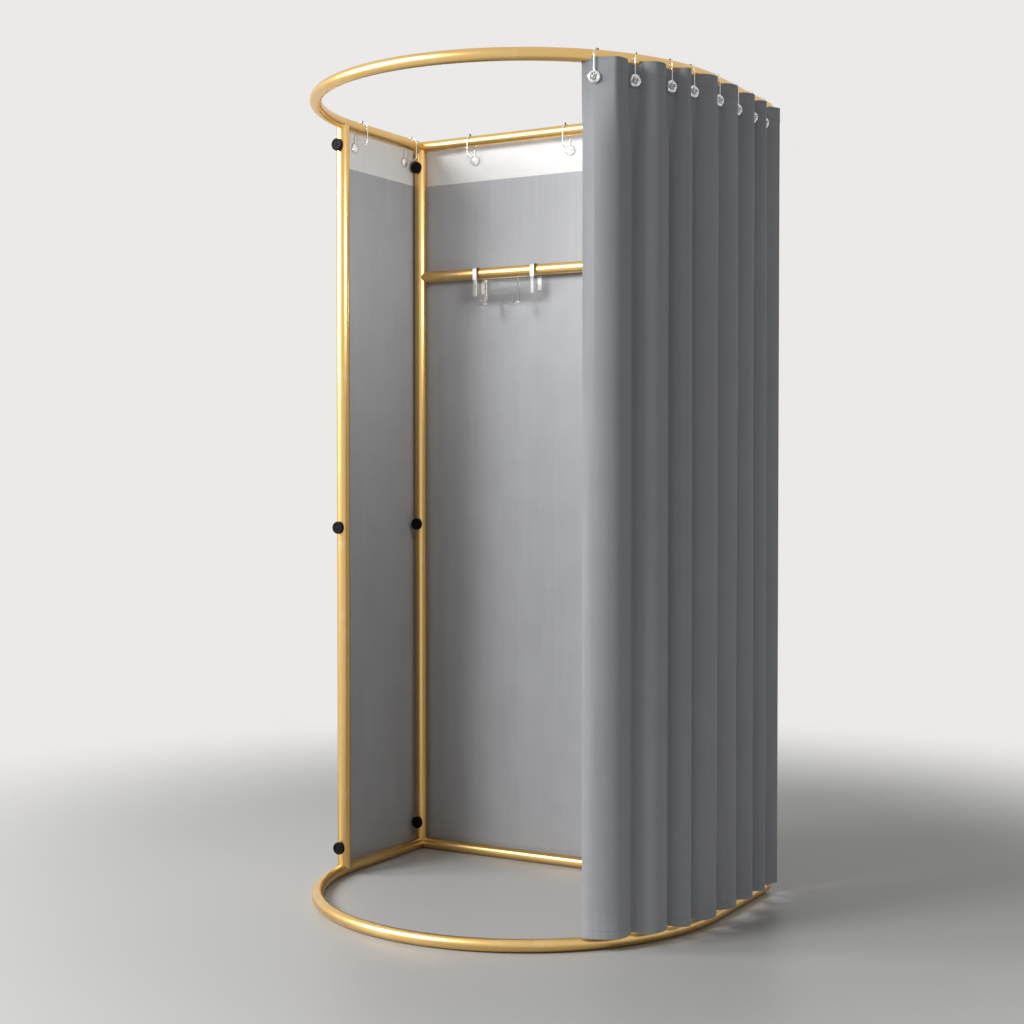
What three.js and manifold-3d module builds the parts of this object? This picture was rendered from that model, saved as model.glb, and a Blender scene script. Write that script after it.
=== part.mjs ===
// Portable fitting room: two D-shaped tube rings on four posts, flat cloth panels
// at the back and the left, and a curtain that hangs on hooks from the upper ring.
// Millimetres, +Z up, the front faces -Y. The origin is on the floor, under the
// middle of the back rail.

import * as THREE from 'three';
import { mergeVertices } from 'three/addons/utils/BufferGeometryUtils.js';
import Module from 'manifold-3d';

const wasm = await Module();
wasm.setup();

// Overall sizes of the frame
const frameWidth = 1034;
const sideLength = 322;
const overallHeight = 2000;
const bowRadius = frameWidth / 2;

// Ring tube
const ringTubeRadius = 15;
const ringTubeWall = 1.5;
const ringTubeSides = 16;
const ringBoreSides = 8;
const bowSteps = 36;
const lowRingHeight = ringTubeRadius;
const topRingHeight = overallHeight - ringTubeRadius;
const mitreBlockSize = 60;

// Posts, their stubs on the rings and the joiners inside them
const postRadius = 17.5;
const postWall = 1.5;
const postSides = 16;
const holeSides = 8;
const frontPostReach = 380;
const postEndLift = 5;
const splitHeightShare = 0.445;
const splitHeight = overallHeight * splitHeightShare;
const stubReach = 82;
const joinerLength = 170;
const insertClearance = 0.3;
const insertWall = 1.5;
const insertRadius = postRadius - postWall - insertClearance;

// Locking knobs
const knobRadius = 16;
const knobThickness = 10;
const knobChamfer = 1.2;
const knobDishRadius = 11.5;
const knobDishDepth = 1.4;
const knobCollarRadius = 6;
const knobCollarLength = 1.7;
const studRadius = 3;
const studTipDepth = 7.5;
const studClearance = 0.35;
const knobSegments = 12;
const endKnobOffset = 60;
const middleKnobRise = 32;
const lowKnobHeight = lowRingHeight + endKnobOffset;
const middleKnobHeight = splitHeight + middleKnobRise;
const highKnobHeight = topRingHeight - endKnobOffset;

// Hanging bar
const crossbarRadius = 15;
const crossbarWall = 1.5;
const crossbarHeightShare = 0.809;
const crossbarHeight = overallHeight * crossbarHeightShare;

// Gap kept between pieces that touch, and the overrun of every cut
const seatGap = 0.3;
const cutOverrun = 20;

// Cloth
const clothThickness = 2;
const clothTopDrop = 32;
const clothTop = overallHeight - clothTopDrop;
const clothBottom = 32;
const panelTopDrop = 17;
const panelTop = overallHeight - panelTopDrop;
const panelBottom = 16;
const headerHeight = 105;
const seamHeight = panelTop - headerHeight;
const panelOffset = 24;
const panelRearOverhang = 12;
const leftPanelReach = 366;

// Curtain, gathered along the right part of the upper ring
const curtainReach = 751;
const rearTuck = 6;
const hookBehindPost = 44;
const hookBeforePost = 65.5;
const sideHookShares = [0.15, 0.372, 0.667];
const frontHookShares = [0.237, 0.565, 0.882];
const valleyOffset = 8;
const valleyOffsetAtHooks = 12;
const crestOffset = 37;
const crestRise = 12;
const hemDrop = 2.5;
const relaxDrop = 156;
const pinchWidth = 15;
const valleyWidth = 3;
const foldSamples = 10;
const foldFullness = 0.7;
const endStripShares = [0, 0.03, 0.25, 0.5, 0.75, 1];
const rearCrestShare = 0.36;
const frontCrestShare = 0.01;
const leadOffset = 11;
const leadOffsetAtHooks = 1.5;

// Wire hooks with clear discs
const wireRadius = 1.3;
const wireSides = 6;
const legOffset = 19.5;
const archSteps = 6;
const beadRadius = 2.9;
const beadRings = 4;
const hookSeatGap = 0.6;
const discRadius = 14;
const discThickness = 6.5;
const discRimShare = 0.45;
const discFaceShare = 0.62;
const discFacets = 8;
const discDrop = 64;
const discHeight = overallHeight - discDrop;
const returnDrop = 14;
const returnRadius = 10;
const pinHeadLength = 3;
const eyeletRadius = 3;
const leftHookShares = [0.19, 0.84];
const backHookShares = [0.16, 0.45, 0.74, 0.96];

// Coat rack over the hanging bar
const rackPlace = 190;
const rackSpan = 182;
const strapWidth = 12;
const strapThickness = 1.6;
const strapDepth = 45;
const frontLegLength = 81;
const rearLegLength = 70;
const strapBend = 8;
const strapBendSteps = 4;
const plateThickness = 3;
const plateHeight = 46;
const pegThickness = 3;
const pegWidth = 8;
const pegDrop = 28;
const pegReach = 30;
const pegBend = 6;
const pegTipRise = 14;
const pegTopInset = 6;
const pegPlaceShares = [0.215, 0.785];

// Finishes
const gold = new THREE.MeshStandardMaterial({ color: 0xd9a94e, metalness: 0.9, roughness: 0.32 });
const blackPlastic = new THREE.MeshStandardMaterial({ color: 0x101012, roughness: 0.45 });
const greyCloth = new THREE.MeshStandardMaterial({ color: 0x7b7d82, roughness: 0.95 });
const whiteCloth = new THREE.MeshStandardMaterial({ color: 0xeeeeee, roughness: 0.9 });
const brightWire = new THREE.MeshStandardMaterial({ color: 0xe4e6ea, metalness: 0.8, roughness: 0.25 });
const clearPlastic = new THREE.MeshStandardMaterial({ color: 0xe8eef2, roughness: 0.08 });

const part = new THREE.Group();

// Solids

// A closed geometry as a solid, with its shared vertices merged and its flat triangles dropped.
function solidOf(geometry) {
  const bare = new THREE.BufferGeometry();
  bare.setAttribute('position', geometry.getAttribute('position'));
  bare.setIndex(geometry.getIndex());
  const merged = mergeVertices(bare);
  const corners = merged.getIndex().array;
  const kept = [];
  for (let i = 0; i < corners.length; i += 3) {
    const [a, b, c] = [corners[i], corners[i + 1], corners[i + 2]];
    if (a !== b && b !== c && c !== a) kept.push(a, b, c);
  }
  return new wasm.Manifold(new wasm.Mesh({
    numProp: 3,
    vertProperties: new Float32Array(merged.getAttribute('position').array),
    triVerts: new Uint32Array(kept),
  }));
}

function geometryOf(solid) {
  const mesh = solid.getMesh();
  const geometry = new THREE.BufferGeometry();
  geometry.setAttribute('position', new THREE.BufferAttribute(new Float32Array(mesh.vertProperties), 3));
  geometry.setIndex(new THREE.BufferAttribute(new Uint32Array(mesh.triVerts), 1));
  const flat = geometry.toNonIndexed();
  flat.computeVertexNormals();
  return flat;
}

function addMesh(name, solid, material, parent = part) {
  const mesh = new THREE.Mesh(geometryOf(solid), material);
  mesh.name = name;
  parent.add(mesh);
  return mesh;
}

// A regular polygon whose flats lie at the given radius, with one flat on each axis.
function polygonPath(flatRadius, sides) {
  const step = (2 * Math.PI) / sides;
  const cornerRadius = flatRadius / Math.cos(step / 2);
  const points = [];
  for (let i = 0; i < sides; i += 1) {
    const angle = (i + 0.5) * step;
    points.push(new THREE.Vector2(cornerRadius * Math.cos(angle), cornerRadius * Math.sin(angle)));
  }
  return points;
}

function tubeSection(radius, wall, sides, boreSides) {
  const section = new THREE.Shape(polygonPath(radius, sides));
  if (wall > 0) section.holes.push(new THREE.Path(polygonPath(radius - wall, boreSides)));
  return section;
}

// An upright tube or rod from one height to another.
function uprightTube(radius, wall, sides, bottom, top) {
  const section = tubeSection(radius, wall, sides, sides);
  const geometry = new THREE.ExtrudeGeometry(section, { depth: top - bottom, bevelEnabled: false });
  return solidOf(geometry).translate([0, 0, bottom]);
}

// A rod along -Y, from one distance in front of the axis to another.
function levelRod(radius, sides, start, end) {
  return uprightTube(radius, 0, sides, start, end).rotate([90, 0, 0]);
}

// The biggest of the bodies that a cut leaves, without the slivers beside it.
function largestBody(solid) {
  const bodies = solid.decompose();
  bodies.sort((a, b) => b.volume() - a.volume());
  return bodies[0];
}

// A curve that steps through chosen stations, so that a bend is divided evenly
// and a straight run has one step.
class StationCurve extends THREE.Curve {
  constructor(points, tangents) {
    super();
    this.points = points;
    this.tangents = tangents;
  }

  station(share) {
    return Math.round(share * (this.points.length - 1));
  }

  getPointAt(share, target = new THREE.Vector3()) {
    return target.copy(this.points[this.station(share)]);
  }

  getTangentAt(share, target = new THREE.Vector3()) {
    return target.copy(this.tangents[this.station(share)]);
  }

  get steps() {
    return this.points.length - 1;
  }
}

function sweep(section, curve) {
  return solidOf(new THREE.ExtrudeGeometry(section, {
    steps: curve.steps,
    extrudePath: curve,
    bevelEnabled: false,
  }));
}

// A route of straight runs and round bends in the XZ plane.
class Route {
  constructor() {
    this.points = [];
    this.tangents = [];
  }

  station(x, z, tx, tz) {
    this.points.push(new THREE.Vector3(x, 0, z));
    this.tangents.push(new THREE.Vector3(tx, 0, tz));
    return this;
  }

  bend(x, z, radius, from, to, steps) {
    const turn = Math.sign(to - from);
    for (let i = 0; i <= steps; i += 1) {
      const angle = from + (i / steps) * (to - from);
      const [c, s] = [Math.cos(angle), Math.sin(angle)];
      this.station(x + radius * c, z + radius * s, -turn * s, turn * c);
    }
    return this;
  }

  swept(section) {
    return sweep(section, new StationCurve(this.points, this.tangents));
  }
}

// A strip of this thickness and width, bent along the route in its thin direction.
function bentStrip(thickness, width, route) {
  const [w, t] = [width / 2, thickness / 2];
  const corners = [[-w, -t], [w, -t], [w, t], [-w, t]].map(([x, y]) => new THREE.Vector2(x, y));
  return route.swept(new THREE.Shape(corners));
}

// Ring plan

// The bow from behind the rear left corner, round the front, to behind the rear right one.
function bowCurve() {
  const points = [];
  const tangents = [];
  points.push(new THREE.Vector3(-bowRadius, cutOverrun, 0));
  tangents.push(new THREE.Vector3(0, -1, 0));
  for (let i = 0; i <= bowSteps; i += 1) {
    const angle = Math.PI + (i / bowSteps) * Math.PI;
    const [c, s] = [Math.cos(angle), Math.sin(angle)];
    points.push(new THREE.Vector3(bowRadius * c, bowRadius * s - sideLength, 0));
    tangents.push(new THREE.Vector3(-s, c, 0));
  }
  points.push(new THREE.Vector3(bowRadius, cutOverrun, 0));
  tangents.push(new THREE.Vector3(0, 1, 0));
  return new StationCurve(points, tangents);
}

function railCurve() {
  const reach = bowRadius + cutOverrun;
  const along = new THREE.Vector3(1, 0, 0);
  return new StationCurve(
    [new THREE.Vector3(-reach, 0, 0), new THREE.Vector3(reach, 0, 0)],
    [along, along],
  );
}

// A block on the outer or the inner side of the mitre at a rear corner.
function mitreBlock(side, outwards) {
  const shift = ((mitreBlockSize - seatGap) / 2) * outwards;
  const block = solidOf(new THREE.BoxGeometry(mitreBlockSize, mitreBlockSize, mitreBlockSize));
  return block.translate([0, shift, 0]).rotate([0, 0, side * 45]).translate([side * bowRadius, 0, 0]);
}

function mitred(solid, outwards) {
  return solid.subtract(mitreBlock(-1, outwards)).subtract(mitreBlock(1, outwards));
}

const bowRod = sweep(tubeSection(ringTubeRadius + seatGap, 0, ringTubeSides), bowCurve());
const railRod = sweep(tubeSection(ringTubeRadius + seatGap, 0, ringTubeSides), railCurve());
const bowEndRod = mitred(bowRod, 1);
const ringRod = bowEndRod.add(mitred(railRod, -1));

// Places of the posts on the ring plan, with the ring piece that carries the stub.
const frontPostAngle = Math.asin((frontPostReach - sideLength) / bowRadius);
const frontPostHalfWidth = bowRadius * Math.cos(frontPostAngle);
const postPlaces = [
  { name: 'rear_left', x: -bowRadius, y: 0, onBow: false },
  { name: 'rear_right', x: bowRadius, y: 0, onBow: false },
  { name: 'front_left', x: -frontPostHalfWidth, y: -frontPostReach, onBow: true },
  { name: 'front_right', x: frontPostHalfWidth, y: -frontPostReach, onBow: true },
];

// Rings with their stubs: up is 1 on the lower ring and -1 on the upper one.
function ringPiece(tube, onBow, up) {
  const bore = insertRadius - insertWall;
  let solid = tube;
  for (const place of postPlaces.filter((entry) => entry.onBow === onBow)) {
    const cope = ringTubeRadius + insertClearance;
    let outside = up > 0
      ? uprightTube(insertRadius, 0, postSides, 0, stubReach)
      : uprightTube(insertRadius, 0, postSides, -stubReach, 0);
    outside = outside.translate([place.x, place.y, 0]);
    if (!onBow) outside = largestBody(outside.subtract(bowEndRod));
    const inside = up > 0
      ? uprightTube(bore, 0, postSides, cope, stubReach + cutOverrun)
      : uprightTube(bore, 0, postSides, -stubReach - cutOverrun, -cope);
    const hole = levelRod(studRadius + studClearance, holeSides, 0, postRadius)
      .translate([0, 0, up * endKnobOffset]);
    solid = solid.add(outside);
    solid = solid.subtract(inside.translate([place.x, place.y, 0]));
    solid = solid.subtract(hole.translate([place.x, place.y, 0]));
  }
  return solid;
}

function addRing(prefix, height, up) {
  const ring = new THREE.Group();
  ring.position.z = height;
  const section = tubeSection(ringTubeRadius, ringTubeWall, ringTubeSides, ringBoreSides);
  const bow = mitred(sweep(section, bowCurve()), 1);
  const rail = mitred(sweep(section, railCurve()), -1);
  addMesh(`${prefix}_bow`, ringPiece(bow, true, up), gold, ring);
  addMesh(`${prefix}_back_rail`, ringPiece(rail, false, up), gold, ring);
  part.add(ring);
}

// A knob with its stud, turned about the stud's axis, which points to -Y.
function makeKnob() {
  const collarBase = postRadius + seatGap;
  const headBack = collarBase + knobCollarLength;
  const headFront = headBack + knobThickness;
  const tip = postRadius - studTipDepth;
  const profile = [
    [0, tip],
    [studRadius, tip],
    [studRadius, collarBase],
    [knobCollarRadius, collarBase],
    [knobCollarRadius, headBack],
    [knobRadius, headBack],
    [knobRadius, headFront - knobChamfer],
    [knobRadius - knobChamfer, headFront],
    [knobDishRadius, headFront],
    [knobDishRadius - knobDishDepth, headFront - knobDishDepth],
    [0, headFront - knobDishDepth],
  ].map(([radius, along]) => new THREE.Vector2(radius, along));
  return solidOf(new THREE.LatheGeometry(profile, knobSegments)).rotate([180, 0, 0]);
}

const knobSolid = makeKnob();

// Posts: a lower and an upper tube with a joiner inside, coped onto the rings.
function addPost(place) {
  const post = new THREE.Group();
  post.position.set(place.x, place.y, 0);
  const hole = levelRod(studRadius + studClearance, holeSides, 0, postRadius + cutOverrun);
  const copeAt = (height) => ringRod.translate([-place.x, -place.y, height]);

  const bottom = lowRingHeight + postEndLift;
  const top = topRingHeight - postEndLift;
  let lower = uprightTube(postRadius, postWall, postSides, bottom, splitHeight - seatGap / 2);
  lower = lower.subtract(copeAt(lowRingHeight));
  lower = lower.subtract(hole.translate([0, 0, lowKnobHeight]));
  let upper = uprightTube(postRadius, postWall, postSides, splitHeight + seatGap / 2, top);
  upper = upper.subtract(copeAt(topRingHeight));
  upper = upper.subtract(hole.translate([0, 0, middleKnobHeight]));
  upper = upper.subtract(hole.translate([0, 0, highKnobHeight]));
  const joinerBottom = splitHeight - joinerLength / 2;
  let joiner = uprightTube(insertRadius, insertWall, postSides, joinerBottom, joinerBottom + joinerLength);
  joiner = joiner.subtract(hole.translate([0, 0, middleKnobHeight]));

  addMesh(`${place.name}_post_lower`, largestBody(lower), gold, post);
  addMesh(`${place.name}_post_upper`, largestBody(upper), gold, post);
  addMesh(`${place.name}_joiner`, joiner, gold, post);
  part.add(post);

  const knobHeights = { low: lowKnobHeight, middle: middleKnobHeight, high: highKnobHeight };
  for (const [level, height] of Object.entries(knobHeights)) {
    const knob = addMesh(`${place.name}_knob_${level}`, knobSolid, blackPlastic, post);
    knob.position.z = height;
  }
}

// The hanging bar between the rear posts, coped onto them.
function addCrossbar() {
  const section = tubeSection(crossbarRadius, crossbarWall, ringTubeSides, ringTubeSides);
  const along = new THREE.Vector3(1, 0, 0);
  const end = new THREE.Vector3(bowRadius - postEndLift, 0, 0);
  const curve = new StationCurve([end.clone().negate(), end], [along, along]);
  const postRod = uprightTube(postRadius + seatGap, 0, postSides, -cutOverrun, cutOverrun);
  let bar = sweep(section, curve);
  for (const side of [-1, 1]) bar = bar.subtract(postRod.translate([side * bowRadius, 0, 0]));
  addMesh('crossbar', largestBody(bar), gold).position.z = crossbarHeight;
}

// Flat panels: a grey cloth under a white header band, outside the posts.
function clothBoard(length, bottom, top) {
  return solidOf(new THREE.BoxGeometry(length, clothThickness, top - bottom))
    .translate([0, 0, (top + bottom) / 2]);
}

function eyelet() {
  const reach = clothThickness + cutOverrun;
  return levelRod(eyeletRadius, wireSides, -reach, reach).translate([0, 0, discHeight]);
}

function addPanel(name, length, hookPlaces, place) {
  const panel = new THREE.Group();
  place(panel);
  let header = clothBoard(length, seamHeight + seatGap, panelTop);
  for (const along of hookPlaces) header = header.subtract(eyelet().translate([along, 0, 0]));
  addMesh(`${name}_panel`, clothBoard(length, panelBottom, seamHeight), greyCloth, panel);
  addMesh(`${name}_header`, header, whiteCloth, panel);
  for (const [index, along] of hookPlaces.entries()) {
    const hook = addMesh(`${name}_hook_${index + 1}`, panelHook, brightWire, panel);
    hook.position.set(along, -panelOffset, 0);
  }
  part.add(panel);
}

// Hooks: drawn in the plane across the rail, with x outwards and z up.
// The wire starts in the disc, runs over the tube on a bead and back under it to the disc.
function hookWire() {
  const archHeight = overallHeight + hookSeatGap + beadRadius - legOffset;
  const returnHeight = discHeight + returnDrop;
  const wire = new Route()
    .station(legOffset, discHeight, 0, 1)
    .bend(0, archHeight, legOffset, 0, Math.PI, archSteps)
    .bend(returnRadius - legOffset, returnHeight, returnRadius, Math.PI, 1.5 * Math.PI, archSteps / 2)
    .station(legOffset, returnHeight - returnRadius, 1, 0)
    .swept(new THREE.Shape(polygonPath(wireRadius, wireSides)));
  const bead = solidOf(new THREE.SphereGeometry(beadRadius, wireSides, beadRings));
  return wire.add(bead.translate([0, 0, archHeight + legOffset]));
}

// A clear disc with a cut rim, its face towards +x from the plane of the leg.
function hookDisc() {
  const half = discThickness / 2;
  const profile = [
    [0, -half],
    [discRadius * discFaceShare, -half],
    [discRadius, -half * discRimShare],
    [discRadius, half * discRimShare],
    [discRadius * discFaceShare, half],
    [0, half],
  ].map(([radius, along]) => new THREE.Vector2(radius, along));
  return solidOf(new THREE.LatheGeometry(profile, discFacets))
    .rotate([0, 0, -90]).translate([legOffset, 0, discHeight]);
}

function makeCurtainHook() {
  return hookWire().add(hookDisc());
}

// On a panel the hook's pin goes on through the eyelet and ends in a small head.
function makePanelHook() {
  const end = panelOffset + clothThickness / 2 + seatGap + pinHeadLength;
  const pin = levelRod(wireRadius, wireSides, legOffset, end);
  const head = levelRod(beadRadius + wireRadius, wireSides, end - pinHeadLength, end);
  const turned = pin.add(head).rotate([0, 0, 90]).translate([0, 0, discHeight]);
  return hookWire().add(hookDisc()).add(turned).rotate([0, 0, 90]);
}

const curtainHook = makeCurtainHook();
const panelHook = makePanelHook();

// Curtain

// A point at a length along the ring from the rear right corner forwards, and at
// an offset outwards from the tube's axis.
function railPlace(length, offset) {
  if (length <= sideLength) return new THREE.Vector2(bowRadius + offset, -length);
  const angle = (length - sideLength) / bowRadius;
  const reach = bowRadius + offset;
  return new THREE.Vector2(reach * Math.cos(angle), -sideLength - reach * Math.sin(angle));
}

function railAngle(length) {
  return length <= sideLength ? 0 : -(length - sideLength) / bowRadius;
}

// How far a fold stands out at a share of its width, from 0 in the valleys to 1 on the crest.
function foldBulge(share) {
  return Math.sin(Math.PI * share) ** foldFullness;
}

// Stations of one fold between two hooks, closer together in the valleys. The pull is how
// far a station gives way to a flat valley on its left or right, and the lead is how far it
// stands out with the curtain's leading edge.
function foldStations(from, to, leading) {
  const stations = [];
  for (let i = 0; i <= foldSamples; i += 1) {
    const share = (1 - Math.cos((Math.PI * i) / foldSamples)) / 2;
    const atEnd = i === 0 || i === foldSamples;
    const pull = atEnd ? 0 : 1 - 2 * share;
    const lead = leading ? share : 0;
    stations.push({ length: from + share * (to - from), bulge: foldBulge(share), pull, lead });
  }
  return stations;
}

// Stations of the strip beyond the first or last hook, out to the curtain's edge.
function stripStations(from, to, crestShare, lead) {
  return endStripShares.map((share) => {
    const pull = share === 0 ? 0 : Math.sign(to - from) * (1 - share);
    return { length: from + share * (to - from), bulge: foldBulge(share * crestShare), pull, lead };
  });
}

// Rows of the cloth from the hem to the top edge.
const curtainRows = [
  [clothBottom, valleyOffset, leadOffset, valleyWidth, -hemDrop],
  [discHeight - relaxDrop, valleyOffset, leadOffset, valleyWidth, 0],
  [discHeight - 2 * discRadius, valleyOffsetAtHooks, leadOffsetAtHooks, pinchWidth, 0],
  [clothTop, valleyOffsetAtHooks, leadOffsetAtHooks, pinchWidth, crestRise],
].map(([height, valley, leadOut, pinch, rise]) => ({ height, valley, leadOut, pinch, rise }));

// One row of the cloth: the points of its outer face and of its inner face.
function clothRow(stations, row) {
  const middle = stations.map(({ length, bulge, pull, lead }) => {
    const low = row.valley + row.leadOut * lead;
    const offset = low + (crestOffset - low) * bulge;
    return railPlace(length + pull * row.pinch, offset);
  });
  const faces = [[], []];
  for (const [index, point] of middle.entries()) {
    const last = middle.length - 1;
    const before = middle[Math.max(index - 1, 0)];
    const after = middle[Math.min(index + 1, last)];
    const along = after.clone().sub(before).normalize();
    const normal = new THREE.Vector2(-along.y, along.x);
    const { length, bulge } = stations[index];
    if (index === 0 || index === last) {
      const turn = railAngle(length);
      normal.set(Math.cos(turn), Math.sin(turn));
    }
    const height = row.height + row.rise * bulge;
    for (const [face, side] of [[0, 1], [1, -1]]) {
      const place = point.clone().addScaledVector(normal, (side * clothThickness) / 2);
      faces[face].push([place.x, place.y, height]);
    }
  }
  return [...faces[0], ...faces[1].reverse()];
}

// A closed cloth through the rows: walls between rows, and caps across the thickness.
function clothSolid(stations) {
  const rows = curtainRows.map((row) => clothRow(stations, row));
  const around = rows[0].length;
  const triangles = [];
  for (let r = 0; r + 1 < rows.length; r += 1) {
    for (let i = 0; i < around; i += 1) {
      const [a, b] = [r * around + i, r * around + ((i + 1) % around)];
      const [c, d] = [a + around, b + around];
      triangles.push(a, d, b, a, c, d);
    }
  }
  const top = (rows.length - 1) * around;
  for (let i = 0; i + 1 < stations.length; i += 1) {
    const [a, b, c, d] = [i, i + 1, around - 2 - i, around - 1 - i];
    triangles.push(a, b, c, a, c, d);
    triangles.push(top + a, top + c, top + b, top + a, top + d, top + c);
  }
  const geometry = new THREE.BufferGeometry();
  geometry.setAttribute('position', new THREE.Float32BufferAttribute(rows.flat(2), 3));
  geometry.setIndex(triangles);
  return solidOf(geometry);
}

// Places of the curtain's hooks along the ring, with one fold round the front post.
function curtainHookLengths() {
  const postLength = sideLength + frontPostAngle * bowRadius;
  const behind = postLength - hookBehindPost;
  const before = postLength + hookBeforePost;
  return [
    ...sideHookShares.map((share) => share * behind),
    behind,
    before,
    ...frontHookShares.map((share) => before + share * (curtainReach - before)),
  ];
}

// The cloth is parted at each hook, so that the hook's return wire passes through it.
function addCurtain() {
  const hookLengths = curtainHookLengths();
  const wireGap = wireRadius + seatGap;
  for (const [index, length] of hookLengths.entries()) {
    const place = railPlace(length, 0);
    const hook = addMesh(`curtain_hook_${index + 1}`, curtainHook, brightWire);
    hook.position.set(place.x, place.y, 0);
    hook.rotation.z = railAngle(length);
    if (index > 0) {
      const leading = index === hookLengths.length - 1;
      const stations = foldStations(hookLengths[index - 1] + wireGap, length - wireGap, leading);
      addMesh(`curtain_fold_${index}`, clothSolid(stations), greyCloth);
    }
  }
  const rearStrip = stripStations(hookLengths[0] - wireGap, -rearTuck, rearCrestShare, 0).reverse();
  const frontStrip = stripStations(hookLengths.at(-1) + wireGap, curtainReach, frontCrestShare, 1);
  addMesh('curtain_edge_rear', clothSolid(rearStrip), greyCloth);
  addMesh('curtain_edge_front', clothSolid(frontStrip), greyCloth);
}

// Coat rack: two bent straps over the hanging bar carry a clear plate with pegs.
// Its routes are drawn with x backwards and z up from the bar's axis.
const strapTop = crossbarRadius + seatGap + strapThickness / 2;
const legX = (strapDepth - strapThickness) / 2;
const plateLow = strapTop + strapThickness / 2 - frontLegLength;
const plateFront = -legX + strapThickness / 2 + seatGap;

function strapSolid() {
  const bendX = legX - strapBend;
  const bendZ = strapTop - strapBend;
  const route = new Route()
    .station(-legX, plateLow, 0, 1)
    .bend(-bendX, bendZ, strapBend, Math.PI, Math.PI / 2, strapBendSteps)
    .bend(bendX, bendZ, strapBend, Math.PI / 2, 0, strapBendSteps)
    .station(legX, strapTop - rearLegLength, 0, -1);
  return bentStrip(strapThickness, strapWidth, route).rotate([0, 0, 90]);
}

// A peg: a strip down the plate's face, forwards under it and up at the tip.
function pegSolid() {
  const start = plateFront + plateThickness / 2;
  const foot = plateLow - pegDrop;
  const route = new Route()
    .station(start, plateLow + plateHeight - pegTopInset, 0, -1)
    .bend(start - pegBend, foot + pegBend, pegBend, 0, -Math.PI / 2, strapBendSteps)
    .bend(start - pegReach + pegBend, foot + pegBend, pegBend, -Math.PI / 2, -Math.PI, strapBendSteps)
    .station(start - pegReach, foot + pegTipRise, 0, 1);
  return bentStrip(pegThickness, pegWidth, route).rotate([0, 0, 90]);
}

function plateSolid() {
  let plate = solidOf(new THREE.BoxGeometry(rackSpan + strapWidth, plateThickness, plateHeight))
    .translate([rackSpan / 2, plateFront + plateThickness / 2, plateLow + plateHeight / 2]);
  for (const share of pegPlaceShares) plate = plate.add(pegSolid().translate([share * rackSpan, 0, 0]));
  return plate;
}

function addRack() {
  const rack = new THREE.Group();
  rack.position.set(-bowRadius + rackPlace, 0, crossbarHeight);
  addMesh('rack_strap_left', strapSolid(), brightWire, rack);
  addMesh('rack_strap_right', strapSolid(), brightWire, rack).position.x = rackSpan;
  addMesh('rack_plate', plateSolid(), clearPlastic, rack);
  part.add(rack);
}

addRing('bottom', lowRingHeight, 1);
addRing('top', topRingHeight, -1);
for (const place of postPlaces) addPost(place);
addCrossbar();
const backHookPlaces = backHookShares.map((share) => (share - 0.5) * frameWidth);
addPanel('back', frameWidth + 2 * panelRearOverhang, backHookPlaces, (panel) => {
  panel.position.y = panelOffset;
});
const leftHookPlaces = leftHookShares.map((share) => (share - 0.5) * leftPanelReach);
addPanel('left', leftPanelReach + panelRearOverhang, leftHookPlaces, (panel) => {
  panel.position.set(-bowRadius - panelOffset, (panelRearOverhang - leftPanelReach) / 2, 0);
  panel.rotation.z = Math.PI / 2;
});
addCurtain();
addRack();

export default part;
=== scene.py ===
"""Portable fitting room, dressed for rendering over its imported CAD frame.

Two D-shaped tube rings on four posts carry a back panel, a left panel, a folded
curtain on wire hooks, a hanging bar and a small coat rack. Lengths are in
metres, +Z is up, the front faces -Y and the origin is on the floor.
"""

import logging
import math
from collections.abc import Callable, Sequence
from dataclasses import dataclass, field
from enum import Enum

import bpy
import numpy as np
from bpy.types import Material, Mesh, Node, NodeSocket, NodeTree, Object
from mathutils import Matrix, Vector

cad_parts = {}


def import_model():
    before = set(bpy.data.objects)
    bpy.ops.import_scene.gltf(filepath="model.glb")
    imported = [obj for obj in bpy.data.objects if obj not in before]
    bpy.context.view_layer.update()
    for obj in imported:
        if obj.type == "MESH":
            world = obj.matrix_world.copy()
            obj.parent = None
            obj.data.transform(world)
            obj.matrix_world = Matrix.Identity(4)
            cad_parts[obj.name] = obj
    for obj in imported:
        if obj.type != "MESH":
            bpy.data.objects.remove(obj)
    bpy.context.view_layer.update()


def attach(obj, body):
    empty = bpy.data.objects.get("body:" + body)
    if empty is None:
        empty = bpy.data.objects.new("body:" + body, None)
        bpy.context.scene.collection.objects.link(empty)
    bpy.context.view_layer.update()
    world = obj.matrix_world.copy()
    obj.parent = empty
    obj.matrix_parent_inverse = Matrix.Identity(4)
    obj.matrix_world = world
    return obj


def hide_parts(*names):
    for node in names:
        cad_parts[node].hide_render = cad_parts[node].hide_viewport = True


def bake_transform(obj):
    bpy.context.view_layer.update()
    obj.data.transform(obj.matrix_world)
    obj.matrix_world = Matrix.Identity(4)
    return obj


LOG = logging.getLogger("fitting_room")

CREASE = math.radians(38)
CLOTH_CREASE = math.radians(50)
ON_END = 1e-6
ALONG_X = Matrix.Rotation(math.radians(90), 4, "Y")

Band = tuple[float, float]
Point = tuple[float, float, float]
Colour = tuple[float, float, float, float]


class Slot(Enum):
    """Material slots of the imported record."""

    GOLD = "gold_tube"
    KNOB = "knob"
    GREY = "grey_cloth"
    WHITE = "white_cloth"
    HOOK = "hook"
    STRAP = "rack_strap"
    PLATE = "rack_plate"


class Side(Enum):
    """Left or right of the frame, as the sign of X."""

    LEFT = -1
    RIGHT = 1


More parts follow.
